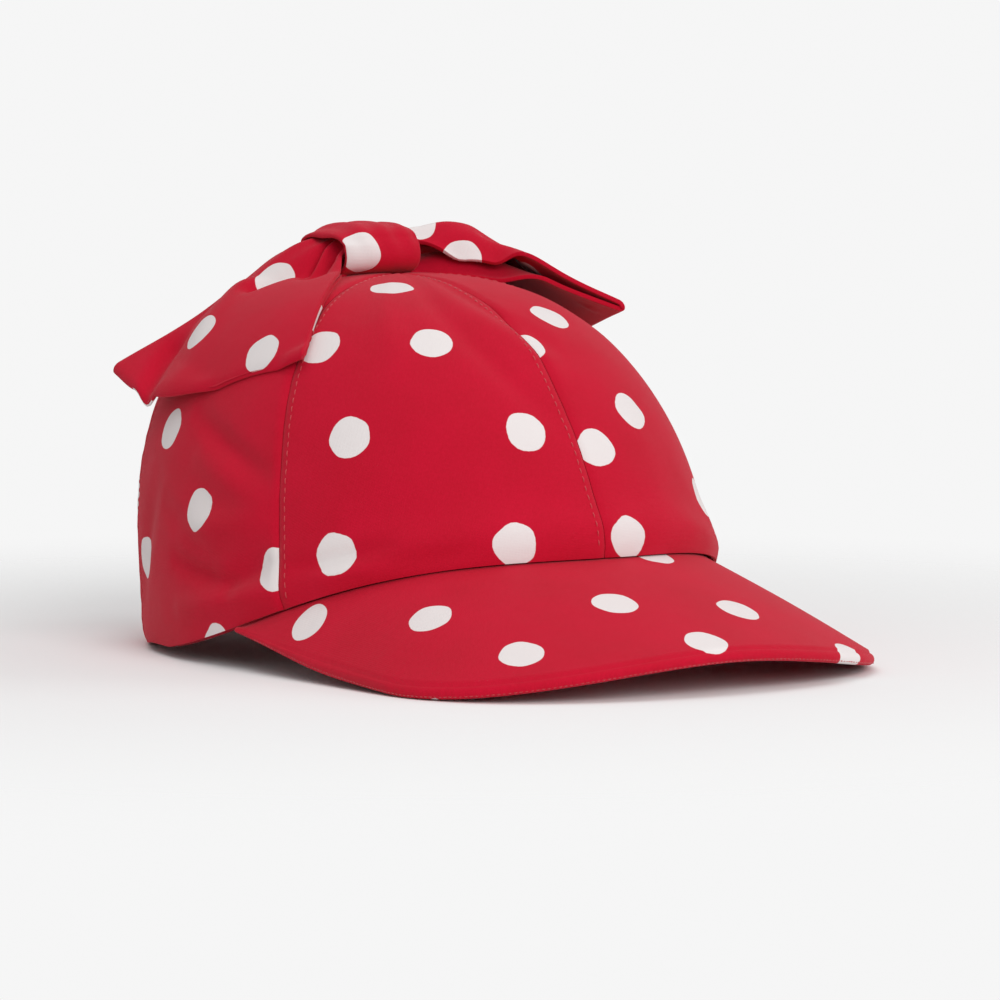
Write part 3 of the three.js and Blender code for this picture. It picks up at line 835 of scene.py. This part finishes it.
# %% [markdown]
# ## Sweatband and label
# The sweatband is a strip of plain poplin folded along its top, sewn to the rim and turned
# inside. It runs from one side of the rear opening round to the other. Wearing makes it
# ripple a little, so its top edge isn't drawn tight.

# %% The sweatband
sweatband_thickness = 1.1 * mm
sweatband_height = 28 * mm
sweatband_depth = lining_depth + tape_thickness + layer_gap
sweatband_half_gap = 48 * mm
band_rows, band_columns = 16, 260
visor_thickness = 3.4 * mm
visor_end = math.radians(79.6)


def rear_angle(x, z):
    """The angle where the dome's rear is `x` from the centre line, at a height."""
    turns = np.linspace(0, np.pi / 2, 2000)
    xs = np.abs(dome(np.pi - turns, np.full_like(turns, z))[:, 0])
    return math.copysign(np.pi - float(np.interp(abs(x), xs, turns)), x)


def pushed_in(angle, z):
    """How far the crown's valleys press on the layers inside them."""
    return -np.minimum(drape(angle, z), 0)


sweatband_reach = rear_angle(sweatband_half_gap, 0.0)
band_angles = np.linspace(-sweatband_reach, sweatband_reach, band_columns)
band_shares = np.linspace(0, 1, band_rows)[:, None]
under_visor = smooth((1 - np.abs(band_angles) / visor_end) / 0.12)
band_bottom = np.maximum(rim(band_angles) - (visor_thickness + layer_gap) * under_visor, 0)
band_top = rim(band_angles) + sweatband_height
band_z = band_bottom + (band_top - band_bottom) * band_shares
band_angle = np.repeat(band_angles[None], band_rows, axis=0)
waves = np.sin(band_angles * 23) + 0.6 * np.sin(band_angles * 37 + 1)
ripple = 0.5 * mm * waves * band_shares ** 2
roll = 0.35 * mm * hump(band_shares, 1, 0.12)
band_place, band_normal = dome(band_angle, band_z), dome_normal(band_angle, band_z)
band_depth = sweatband_depth + 0.5 * mm + ripple + pushed_in(band_angle, band_z)
band_face = band_place - band_normal * band_depth[..., None]
band_back = band_place - band_normal * (band_depth + sweatband_thickness + roll)[..., None]
for grid in (band_face, band_back):
    grid[0, :, 2] = band_bottom
band_mesh = sheet_mesh("sweatband", band_face, band_back, flat_places(band_place))
sweatband = place_piece("sweatband", band_mesh, plain_poplin, "crown", ["sweatband"])
soften_edges(sweatband, 0.4 * mm)
for row_name, row in (("low", 2), ("high", 14)):
    stitch_row(f"sweatband_stitch_{row_name}", band_back[row], -band_normal[row])

# %% The care label, blank on both faces
label_width, label_height = 22 * mm, 30 * mm
label_middle = math.radians(100)
label_bottom = rim(np.array(label_middle)) + 6 * mm
label_up = np.linspace(0, 1, 20)[:, None]
label_across = np.linspace(0, 1, 16)
label_z = np.repeat(label_bottom + label_height * label_up, 16, axis=1)
label_angle = beside_seam(label_middle, label_width * (label_across - 0.5), label_z)
label_curl = 1.2 * mm * (1 - label_up) ** 2 * (0.4 + label_across)
label_depth = sweatband_depth + sweatband_thickness + layer_gap + 0.7 * mm + label_curl
label_place, label_normal = dome(label_angle, label_z), dome_normal(label_angle, label_z)
label_face = label_place - label_normal * (label_depth + pushed_in(label_angle, label_z))[..., None]
label_back = label_face - label_normal * 0.5 * mm
label_mesh = sheet_mesh("care_label", label_face, label_back, flat_places(label_place))
care_label = place_piece("care_label", label_mesh, label_satin, "crown", ["care_label"])
soften_edges(care_label, 0.12 * mm)
stitch_row("label_stitch", label_back[17], -label_normal[17], white_thread, pitch=2 * mm, length=1.5 * mm)

# %% [markdown]
# ## Rear opening and size adjuster
# The half-moon's raw edge is bound with a strip of plain poplin inside. Under it, two tabs
# overlap with hook and loop between them. The hook tab is what a hand peels open, so it
# rides on its own body and turns with it.

# %% The binding
def rear_angles(x, z):
    """The angles of a grid of places on the rear, counted on past the rear seam."""
    angle = np.array([[rear_angle(*place) for place in zip(xs, zs)] for xs, zs in zip(x, z)])
    return np.where(angle < 0, angle + 2 * np.pi, angle)


binding_depth = shell_thickness + 0.6 * mm
binding_turn = np.linspace(0, np.pi, 90)
binding_out = np.linspace(0, 1, 7)[:, None]
binding_x = (opening_half_width + binding_width * binding_out) * np.cos(binding_turn)
binding_z = (opening_height + binding_width * binding_out) * np.sin(binding_turn)
binding_angle = rear_angles(binding_x, binding_z)
crown_sheet("rear_opening_binding", binding_angle, binding_z, binding_depth, tape_thickness,
            plain_poplin, hem=0.18 * mm)
for row_name, row in (("inner", 1), ("outer", 5)):
    line, normal = crown_line(binding_angle[row, 4:-4], binding_z[row, 4:-4], binding_depth + tape_thickness)
    stitch_row(f"binding_stitch_{row_name}", line, -normal)
arch_line, arch_normal = crown_line(binding_angle[2, 6:-6], binding_z[2, 6:-6])
stitch_row("opening_topstitch", arch_line, arch_normal)


# %% The tabs and their hook and loop
def rear_strip(name, from_x, to_x, margin, depth, thickness, finish, body, dots=(), columns=44,
               rounded=False):
    """A strip across the rear, `margin` in from a tab's edges. A rounded one ends in a half round."""
    rows = 16
    x = np.linspace(from_x, to_x, columns)[None] * np.ones((rows, 1))
    up = np.linspace(-1, 1, rows)[:, None] * np.ones((1, columns))
    bottom, top = tab_low + margin, tab_high - margin
    if rounded:
        near = np.clip(1 - np.abs(x - to_x) / (tab_rounding * (top - bottom)), 0, 1)
        up = up * (1 - (1 - np.sqrt(1 - near ** 2 * 0.999)) * 0.35)
    z = (bottom + top) / 2 + up * (top - bottom) / 2
    angle = rear_angles(x, z)
    place, normal = dome(angle, z), dome_normal(angle, z)
    face, back = place - normal * depth, place - normal * (depth + thickness)
    distance = None
    if len(dots):
        centres = [dome(np.array(rear_angle(dx * mm, dz * mm)), np.array(dz * mm)) for dx, dz in dots]
        distance = on_face_only(distance_to_dots(place, centres))
    mesh = sheet_mesh(name, face, back, flat_places(place), distance)
    piece = place_piece(name, mesh, finish, body, [name])
    soften_edges(piece, 0.2 * mm)
    return face, normal


tab_low, tab_high = 1.5 * mm, 19.5 * mm
tab_thickness = 0.9 * mm
tab_rounding = 0.3
patch_margin = 2 * mm
patch_thickness = 0.7 * mm
nap = 0.1 * mm
hook_depth = -(layer_gap + tab_thickness)
loop_depth = binding_depth + tape_thickness + 0.3 * mm
hook_face, hook_normal = rear_strip(
    "hook_tab", -38.5 * mm, 24 * mm, 0, hook_depth, tab_thickness, printed_poplin,
    "adjuster", dots=[(-20, 7), (12, 14)], rounded=True)
rear_strip("hook_patch", -10 * mm, 22 * mm, patch_margin, hook_depth + tab_thickness + nap,
           patch_thickness, nylon_hooks, "adjuster")
rear_strip("loop_tab", 47.7 * mm, -28 * mm, 0, loop_depth, tab_thickness, printed_poplin,
           "crown", dots=[(30, 12)], columns=54, rounded=True)
rear_strip("loop_patch", -26 * mm, 22 * mm, patch_margin, loop_depth - nap - patch_thickness,
           patch_thickness, nylon_loops, "crown")
for row_name, row in (("low", 2), ("high", 13)):
    stitch_row(f"hook_tab_stitch_{row_name}", hook_face[row, 1:-2], hook_normal[row, 1:-2], body="adjuster")

# %% [markdown]
# ## Visor
# A plastic board gives the visor its bend, and printed poplin covers both sides. The upper
# cover is drawn down round the board's edge and sewn to the under cover in fine, close
# stitches, which leaves a rolled lip all round. The visor runs thinner towards the temples,
# and so does the board inside it.

# %% The visor's edge and its layers
visor_front = 143 * mm
visor_corner_depth = 55 * mm
visor_half_width = 79 * mm
visor_roundness = 2.25
visor_front_lift = 8.2 * mm
visor_corner_at = 0.54
visor_end_rise = 1.35
visor_crown = 0.8 * mm
visor_seam_depth = sweatband_depth - 0.6 * mm
visor_seam_drop = 0.3 * mm
end_place = dome(np.array(visor_end), rim(np.array(visor_end)))
end_x, end_y = end_place[0] + 1.2 * mm, end_place[1]


def visor_edge_plan():
    """The half edge in plan, from the front centre to the end beside the temple."""
    turn = np.linspace(0, np.pi / 2, 300)
    corner_y = -(visor_front - visor_corner_depth)
    x = visor_half_width * np.sin(turn) ** (2 / visor_roundness)
    y = corner_y - visor_corner_depth * np.cos(turn) ** (2 / visor_roundness)
    back = np.linspace(0, 1, 100)[1:]
    x = np.concatenate([x, visor_half_width + (end_x - visor_half_width) * back ** 2])
    y = np.concatenate([y, corner_y + (end_y - corner_y) * back])
    return np.stack([x, y, np.zeros_like(x)], axis=1)


edge_plan = visor_edge_plan()
edge_lengths = run_lengths(edge_plan)


def visor_underside(share):
    """The height of the edge's underside: an arch in front, down to the ground at the corners."""
    front = visor_front_lift * (1 + np.cos(np.pi * share / visor_corner_at)) / 2
    climb = np.clip((share - visor_corner_at) / (1 - visor_corner_at), 0, 1)
    end_height = float(rim(np.array(visor_end))) - visor_seam_drop - visor_thickness
    return np.where(share < visor_corner_at, front, end_height * climb ** visor_end_rise)


def visor_frame(signed):
    """For places along the visor, -1 to 1: the seam and the edge in plan, with their undersides,
    and the thickness there, which runs thin towards the temples."""
    angle = signed * visor_end
    share = np.abs(signed)
    thickness = visor_thickness * (1 - 0.6 * smooth((share - 0.72) / 0.26))
    raised = visor_thickness - thickness
    seam_low = rim(angle) - visor_seam_drop - visor_thickness + raised
    along = share * edge_lengths[-1]
    edge = np.stack([np.interp(along, edge_lengths, edge_plan[:, k]) for k in range(3)], axis=1)
    edge[:, 0] *= np.sign(signed)
    edge[:, 2] = visor_underside(share) + raised
    return angle, seam_low, edge, thickness


def visor_point(angle, seam_low, edge, along, up):
    """Points of the visor: `along` from the seam to the edge, `up` above its underside."""
    up = np.broadcast_to(up, angle.shape)
    inner = dome(angle, seam_low + up) - dome_normal(angle, seam_low + up) * visor_seam_depth
    inner[:, 2] = seam_low + up
    outer = edge + np.array([0, 0, 1.0]) * up[:, None]
    reach = np.linalg.norm(outer - inner, axis=1)
    point = inner + (outer - inner) * along[:, None]
    point[:, 2] += visor_crown * np.sin(np.pi * along) * np.minimum(reach / (40 * mm), 1)
    return point


# %% The visor's dots
# Places in plan, in millimetres: to the wearer's left, and forwards. A third number puts the
# dot's middle that far below the surface, for a dot that wraps round the lip.
dots_on_visor = [(-72.6, 44.6), (-59.5, 84.2), (-52.7, 117.1), (-16.3, 110.2), (-5.8, 137.2),
                 (20.1, 118.4), (47.3, 134.5), (56.4, 68.7), (-76.9, 108.6, 7.6), (18.5, 82)]
dots_under_visor = [(-60, 60), (-40, 100), (-8, 92), (-22, 130), (22, 112), (44, 84), (60, 116), (70, 62),
                    (-66, 104), (8, 136)]


def plan_distance(points, dots):
    """Distances to dots given in plan, each laid on the surface at the height nearest below it."""
    centres = []
    for x, y, *below in dots:
        centre = np.array([x, -y]) * mm
        nearest = np.argmin(np.linalg.norm(points[..., :2] - centre, axis=-1))
        centres.append([*centre, points.reshape(-1, 3)[nearest, 2] - sum(below) * mm])
    return distance_to_dots(points, centres)


# %% Cover the visor
visor_columns = 300
top_rows, lip_rows = 44, 14
cover_thickness = 0.6 * mm
thinnest_lip = 0.05 * mm
tuck = 1.6 * mm
lip_stitch_turn = -0.62
visor_signed = np.linspace(-1, 1, visor_columns)
visor_angle, visor_low, visor_edge, visor_deep = visor_frame(visor_signed)
upward = np.array([0, 0, 1.0])
seam_point = visor_point(visor_angle, visor_low, visor_edge, np.zeros(visor_columns), 0)
outward = visor_edge - seam_point
outward[:, 2] = 0
visor_reach = np.linalg.norm(outward, axis=1, keepdims=True)
outward /= visor_reach
nose_radius = visor_deep[:, None] / 2


def leaning(turn):
    """Directions across the lip: outwards at 0, and up at a quarter turn."""
    return outward * math.cos(turn) + upward * math.sin(turn)


def visor_section(depth):
    """The upper cover, `depth` under its face: over the top, round the lip and back below."""
    inset = np.minimum(nose_radius / visor_reach, 0.45)[:, 0]
    rows = [visor_point(visor_angle, visor_low, visor_edge, share * (1 - inset), visor_deep - depth)
            for share in np.linspace(0, 1, top_rows)]
    centre = visor_edge - outward * np.minimum(nose_radius, 0.45 * visor_reach) + upward * nose_radius
    radius = np.maximum(nose_radius - depth, thinnest_lip)
    for turn in np.linspace(np.pi / 2, -np.pi / 2, lip_rows)[1:]:
        ribs = 1 + 0.05 * np.sin(visor_signed * edge_lengths[-1] / (0.24 * mm)) * hump(turn, -0.5, 0.5)
        rows.append(centre + radius * ribs[:, None] * leaning(turn))
    inward = np.minimum(tuck, 0.3 * visor_reach)
    rows += [centre - outward * inward * share - upward * radius for share in (0.5, 1.0)]
    return np.stack(rows)


def cover(name, face, back, shift, dots, hem):
    """A cover of the visor from its two grids, moved by `shift`."""
    mesh = sheet_mesh(name, face + shift, back + shift, face[..., :2],
                      on_face_only(plan_distance(face, dots)))
    piece = place_piece(name, mesh, printed_poplin, "crown", [name])
    soften_edges(piece, hem)


top_face, top_back = visor_section(0), visor_section(cover_thickness)
slow = 0.35 * mm * soft_noise(top_face, 30)[..., None] * upward
slow[top_rows:] = slow[top_rows - 1]
cover("visor_top_cover", top_face, top_back, slow, dots_on_visor, 0.15 * mm)

under_inset = np.minimum((nose_radius + tuck + 0.2 * mm) / visor_reach, 0.6)[:, 0]
under_back = np.stack([
    visor_point(visor_angle, visor_low, visor_edge, share * (1 - under_inset), cover_thickness)
    for share in np.linspace(0, 1, 30)])
under_face = under_back - upward * cover_thickness
cover("visor_under_cover", under_face, under_back, 0, dots_under_visor, 0.12 * mm)

edge_line = visor_edge - outward * nose_radius + upward * nose_radius + nose_radius * leaning(lip_stitch_turn)
stitch_row("visor_edge_stitch", edge_line[8:-8], leaning(lip_stitch_turn)[8:-8], pitch=1.5 * mm,
           length=1.15 * mm, thick=0.34 * mm)

# %% The board between the covers
board_inset = 3 * mm
board_thickness = 1.4 * mm
board_gap = 0.15 * mm
board_end = 0.9
board_columns = np.abs(visor_signed) < board_end
board_low = cover_thickness + board_gap
board_high = np.minimum(board_low + board_thickness, visor_deep - cover_thickness - board_gap)
board_faces = []
for up in (board_high, np.full_like(board_high, board_low)):
    rows = [visor_point(visor_angle, visor_low, visor_edge, share * (1 - board_inset / visor_reach[:, 0]), up)
            for share in np.linspace(0.04, 1, 24)]
    board_faces.append(np.stack(rows)[:, board_columns])
board_mesh = sheet_mesh("visor_board", *board_faces, flat_places(board_faces[0]))
place_piece("visor_board", board_mesh, board_plastic, "crown", ["visor_board"])

# %% [markdown]
# ## The bow
# Each wing is a wide ribbon of doubled poplin. It leaves the knot, is folded back at its outer
# edge and returns underneath, so it is a flattened loop that is open in front and behind. It
# is gathered at the knot into a deep pleat, and it drapes over the crown as far as the cloth's
# stiffness lets it. A loft in code keeps that shape exact at every run, where a cloth
# simulation of a gathered loop would not settle the same way twice.

# %% How a wing lies
bow_y = apex_shift + 12.6 * mm
knot_half = 13 * mm
knot_shift = -5.5 * mm
root_half = 9 * mm
root_x = knot_half + 0.3 * mm
ribbon_thickness = 1.2 * mm
room_for_layers = 2 * ribbon_thickness + 0.5 * mm
wing_reach = 42.5 * mm
wing_slant = 10.5 * mm
wing_belly = 6 * mm
edge_before = 46.5 * mm
edge_run = 82.5 * mm

# Heights of a wing's upper face, in millimetres over the table: along the front and the rear
# border at shares of the way out, and along the outer edge at shares of the way back.
shares_out = (0, 0.15, 0.4, 0.7, 1)
shares_back = (0, 0.25, 0.5, 0.72, 0.84, 1)
wings = {
    "right": dict(side=-1, hidden=5 * mm, front=(119.5, 113.5, 104.5, 97, 90),
                  rear=(119, 117, 105.5, 93, 82.8),
                  edge=(90, 83, 79, 77.5, 78.5, 82.8), bowed=1.6, drawn_down=0, flare=0.1),
    "left": dict(side=1, hidden=12 * mm, front=(120, 121, 117.5, 108.7, 101), rear=(121, 118, 111, 100, 86),
                 edge=(101, 97, 92, 88, 86, 86), bowed=3.5, drawn_down=6, flare=-0.05),
}


def through(share, shares, values):
    """A smooth line through values at shares."""
    slopes = np.gradient(np.array(values, float), np.array(shares, float))
    place = np.clip(np.searchsorted(shares, share, side="right") - 1, 0, len(shares) - 2)
    shares, values = np.array(shares, float), np.array(values, float)
    step = shares[place + 1] - shares[place]
    t = (share - shares[place]) / step
    return ((2 * t ** 3 - 3 * t ** 2 + 1) * values[place] + (t ** 3 - 2 * t ** 2 + t) * step * slopes[place]
            + (3 * t ** 2 - 2 * t ** 3) * values[place + 1] + (t ** 3 - t ** 2) * step * slopes[place + 1])


def crown_top(x, y):
    """The dome's height over points of the plan, by closing in on it."""
    low, high = np.zeros_like(x), np.full_like(x, height)
    for _ in range(40):
        z = (low + high) / 2
        share = z / height
        behind = y - apex_shift * share
        angle = np.arctan2(x / half_width, -behind / half_length)
        fullness = front_fullness + (rear_fullness - front_fullness) * (1 - np.cos(angle)) / 2
        plan = (np.abs(x / half_width) ** plan_roundness + np.abs(behind / half_length) ** plan_roundness)
        inside = share ** fullness + plan ** (fullness / plan_roundness) < 1
        low, high = np.where(inside, z, low), np.where(inside, high, z)
    return low


def wing_plan(name, away, across):
    """Where a place of the wing is in plan, and the heights of its upper and lower faces."""
    lie = wings[name]
    bowed = np.sin(np.pi * across)
    reach = root_x + wing_reach + wing_slant * across + wing_belly * bowed
    start_y = bow_y + root_half * (2 * across - 1)
    edge_y = bow_y - edge_before + edge_run * across
    out = np.clip(away, 0, 1)
    y = start_y + (edge_y - start_y) * np.clip((away - lie["flare"]) / (1 - lie["flare"]), 0, 1) ** 0.85
    x = root_x + (reach - root_x) * away
    front = through(out, shares_out, lie["front"])
    rear = through(out, shares_out, lie["rear"])
    border = front * (1 - across) + rear * across
    straight = lie["edge"][0] * (1 - across) + lie["edge"][-1] * across
    sag = through(across, shares_back, lie["edge"]) - straight
    top = (border + sag * out ** 1.4 + lie["bowed"] * bowed * np.sin(np.pi * out ** 0.8)) * mm
    thickness = (9 - 5.8 * out) * mm
    crown_z = crown_top(lie["side"] * x, y)
    free = crown_z + (1.4 * out - 0.6) * mm
    folded = sum(dent(away, across, *fold) for fold in wing_folds[name])
    upper = np.maximum(np.maximum(top, free + 3.3 * mm) + folded, crown_z + 0.8 * mm)
    drawn_down = lie["drawn_down"] * mm * np.exp(-(across / 0.16) ** 2) * (1 - smooth((away - 0.3) / 0.3))
    lower = np.minimum(np.maximum(top - thickness - drawn_down, free), upper - room_for_layers)
    lower = np.maximum(lower, crown_z - 0.7 * mm)
    return lie["side"] * x, y, upper, lower


def dent(away, across, start, end, width, depth):
    """A valley along a line between two places of the wing, each (away, across)."""
    u0, v0, u1, v1 = *start, *end
    length = math.hypot(u1 - u0, v1 - v0)
    along = np.clip(((away - u0) * (u1 - u0) + (across - v0) * (v1 - v0)) / length ** 2, 0, 1)
    off = np.hypot(away - u0 - along * (u1 - u0), across - v0 - along * (v1 - v0))
    return depth * mm * np.exp(-(off / width) ** 2)


wing_folds = {
    "right": [((0.10, 0.22), (0.26, 0.28), 0.09, -5.5), ((0.20, 0.46), (0.42, 0.66), 0.075, -5.0),
              ((0.04, 0.48), (0.24, 0.42), 0.04, -2.4),
              ((0, 0.82), (0.42, 0.88), 0.11, 1.6), ((0.77, 0.90), (1.0, 0.76), 0.045, -3.8),
              ((0.50, 0.80), (0.94, 0.60), 0.11, 2.2)],
    "left": [((0.15, -0.03), (0.30, -0.03), 0.11, -7.8), ((0, 0.30), (0.26, 0.30), 0.12, 2.2),
             ((0, 0.56), (0.4, 0.58), 0.09, -4.0), ((0.34, 0.20), (0.9, 0.14), 0.06, -1.4),
             ((0.62, 1.0), (1.0, 0.74), 0.06, -4.0), ((0, 0.82), (0.5, 0.84), 0.12, 1.5)],
}


# %% Loft the two loops
upper_rows, fold_rows, lower_rows, wing_columns = 54, 10, 40, 72
dots_on_wings = {
    "right": [("upper", 0.325, 0.70), ("upper", 0.79, 0.66), ("upper", 0.97, 0.18), ("lower", 0.72, -0.02),
              ("lower", 0.97, 0.80), ("lower", 0.7, 0.5)],
    "left": [("upper", -0.02, 0.32), ("upper", 0.13, -0.04), ("upper", 0.62, 0.24), ("upper", 0.40, 0.66),
             ("upper", 0.80, 0.60), ("lower", 0.3, 0.5), ("lower", 0.8, 0.7)],
}


def wing_grid(name):
    """The ribbon's outer face: out along the top, round the fold and back below."""
    across = np.linspace(0, 1, wing_columns)[None]
    root_away = -wings[name]["hidden"] / (48 * mm)
    out = np.linspace(root_away, 1, upper_rows)[:, None]
    x, y, upper, _ = wing_plan(name, out, across)
    rounded = np.abs(2 * across - 1) ** 3 * (1 - smooth(out / 0.3))
    top = np.stack(np.broadcast_arrays(x, y, upper - rounded * 1.5 * mm), axis=-1)
    top += 0.5 * mm * soft_noise(top, 45)[..., None] * upward

    back_out = np.linspace(1, root_away, lower_rows)[:, None]
    x, y, _, lower = wing_plan(name, back_out, across)
    below = np.stack(np.broadcast_arrays(x, y, lower), axis=-1)

    def leaving(last, before):
        step = last - before
        return step / np.linalg.norm(step, axis=1, keepdims=True)

    edge_top, edge_low = top[-1], below[0]
    gap = np.linalg.norm(edge_top - edge_low, axis=1, keepdims=True)
    pull_top = edge_top + 0.75 * gap * leaving(top[-1], top[-2])
    pull_low = edge_low + 0.75 * gap * leaving(below[0], below[1])
    outer = np.stack([(1 - t) ** 3 * edge_top + 3 * t * (1 - t) ** 2 * pull_top
                      + 3 * t * t * (1 - t) * pull_low + t ** 3 * edge_low
                      for t in np.linspace(0, 1, fold_rows + 2)[1:-1]])
    return np.concatenate([top, outer, below])


def wing_distance(name, face):
    """Distances to the wing's dots, each printed on one of the two layers."""
    distance = np.full(face.shape[:2], far_from_dots)
    half = upper_rows + fold_rows // 2
    for layer, away, across in dots_on_wings[name]:
        x, y, upper, lower = wing_plan(name, np.array([away]), np.array([across]))
        centre = np.array([x[0], y[0], upper[0] if layer == "upper" else lower[0]])
        rows = slice(0, half) if layer == "upper" else slice(half, None)
        distance[rows] = np.minimum(distance[rows], np.linalg.norm(face[rows] - centre, axis=-1))
    return distance


for name, lie in wings.items():
    face = wing_grid(name)
    inward_normal = normals_of(face)
    if inward_normal[4, wing_columns // 2, 2] > 0:
        inward_normal = -inward_normal
    back = face + inward_normal * ribbon_thickness
    printed = wing_distance(name, face)
    mesh = sheet_mesh(f"bow_wing_{name}", face, back, flat_places(face), np.stack([printed, printed]))
    wing = place_piece(f"bow_wing_{name}", mesh, printed_poplin, None, [f"bow_wing_{name}"])
    soften_edges(wing, 0.5 * mm)
    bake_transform(wing)

# %% [markdown]
# ## The knot
# A band of the same poplin is wrapped once round the middle of the bow and sewn underneath. It
# bulges where the gathered ribbon fills it and its edges roll in. It is one closed ring
# of cloth, so the ribbon really goes through it.

# %% Wrap the knot
knot_top = height + 15.1 * mm
knot_reach = 13.8 * mm
knot_turns, knot_columns = 96, 30
knot_turn = np.linspace(0, 2 * np.pi, knot_turns, endpoint=False)[None]
knot_side = np.linspace(-1, 1, knot_columns)[:, None]
pillow = 1 - np.where(knot_side < 0, 0.2, 0.1) * np.abs(knot_side) ** 2.6
c, s = np.cos(knot_turn), np.sin(knot_turn)
squareness = (np.abs(c) ** 2.7 + np.abs(s) ** 2.7) ** (-1 / 2.7)
knot_x = knot_shift + knot_half * knot_side * (1 - 0.05 * np.clip(-s, 0, 1))
knot_forward = 3.2 * mm * np.clip(-c, 0, 1) * np.clip(0.35 - s, 0, 1)
knot_y = bow_y + knot_reach * pillow * c * squareness - knot_forward
knot_foot = crown_top(knot_x + 0 * knot_y, knot_y) - 0.8 * mm
knot_middle = (knot_top + height) / 2 + 1 * mm
knot_droop = 2.6 * mm * np.clip(-knot_side, 0, 1) ** 2 * np.clip(s, 0, 1)
knot_z = knot_middle + (knot_top - knot_middle) * pillow * np.clip(s, 0, 1) * squareness - knot_droop
below_middle = (knot_middle - knot_foot) * np.clip(-s, 0, 1) * squareness
knot_z = knot_z - below_middle
knot_face = np.stack(np.broadcast_arrays(knot_x, knot_y, knot_z), axis=-1)
gathers = 0.35 * mm * np.sin(knot_side * 11 + 0.8 * np.sin(3 * knot_turn)) * np.clip(s + 0.6, 0, 1)
gathers = gathers + 0.4 * mm * soft_noise(knot_face, 60)
knot_outward = np.stack(np.broadcast_arrays(0 * knot_x, c + 0 * knot_x, s + 0 * knot_x), axis=-1)
knot_face = knot_face + knot_outward * gathers[..., None]
knot_back = knot_face - knot_outward * 1.3 * mm
dots_on_knot = [(-14, -13.5, 115.5), (6, 8, 123), (-12, 14, 113)]
knot_centres = [np.array([x * mm, bow_y + y * mm, z * mm]) for x, y, z in dots_on_knot]
knot_distance = distance_to_dots(knot_face, knot_centres)
knot = place_piece(
    "bow_knot",
    sheet_mesh("bow_knot", knot_face, knot_back, flat_places(knot_face),
               np.stack([knot_distance, np.full_like(knot_distance, far_from_dots)]), wraps=True),
    printed_poplin, "crown", ["bow_knot"])
soften_edges(knot, 0.5 * mm)
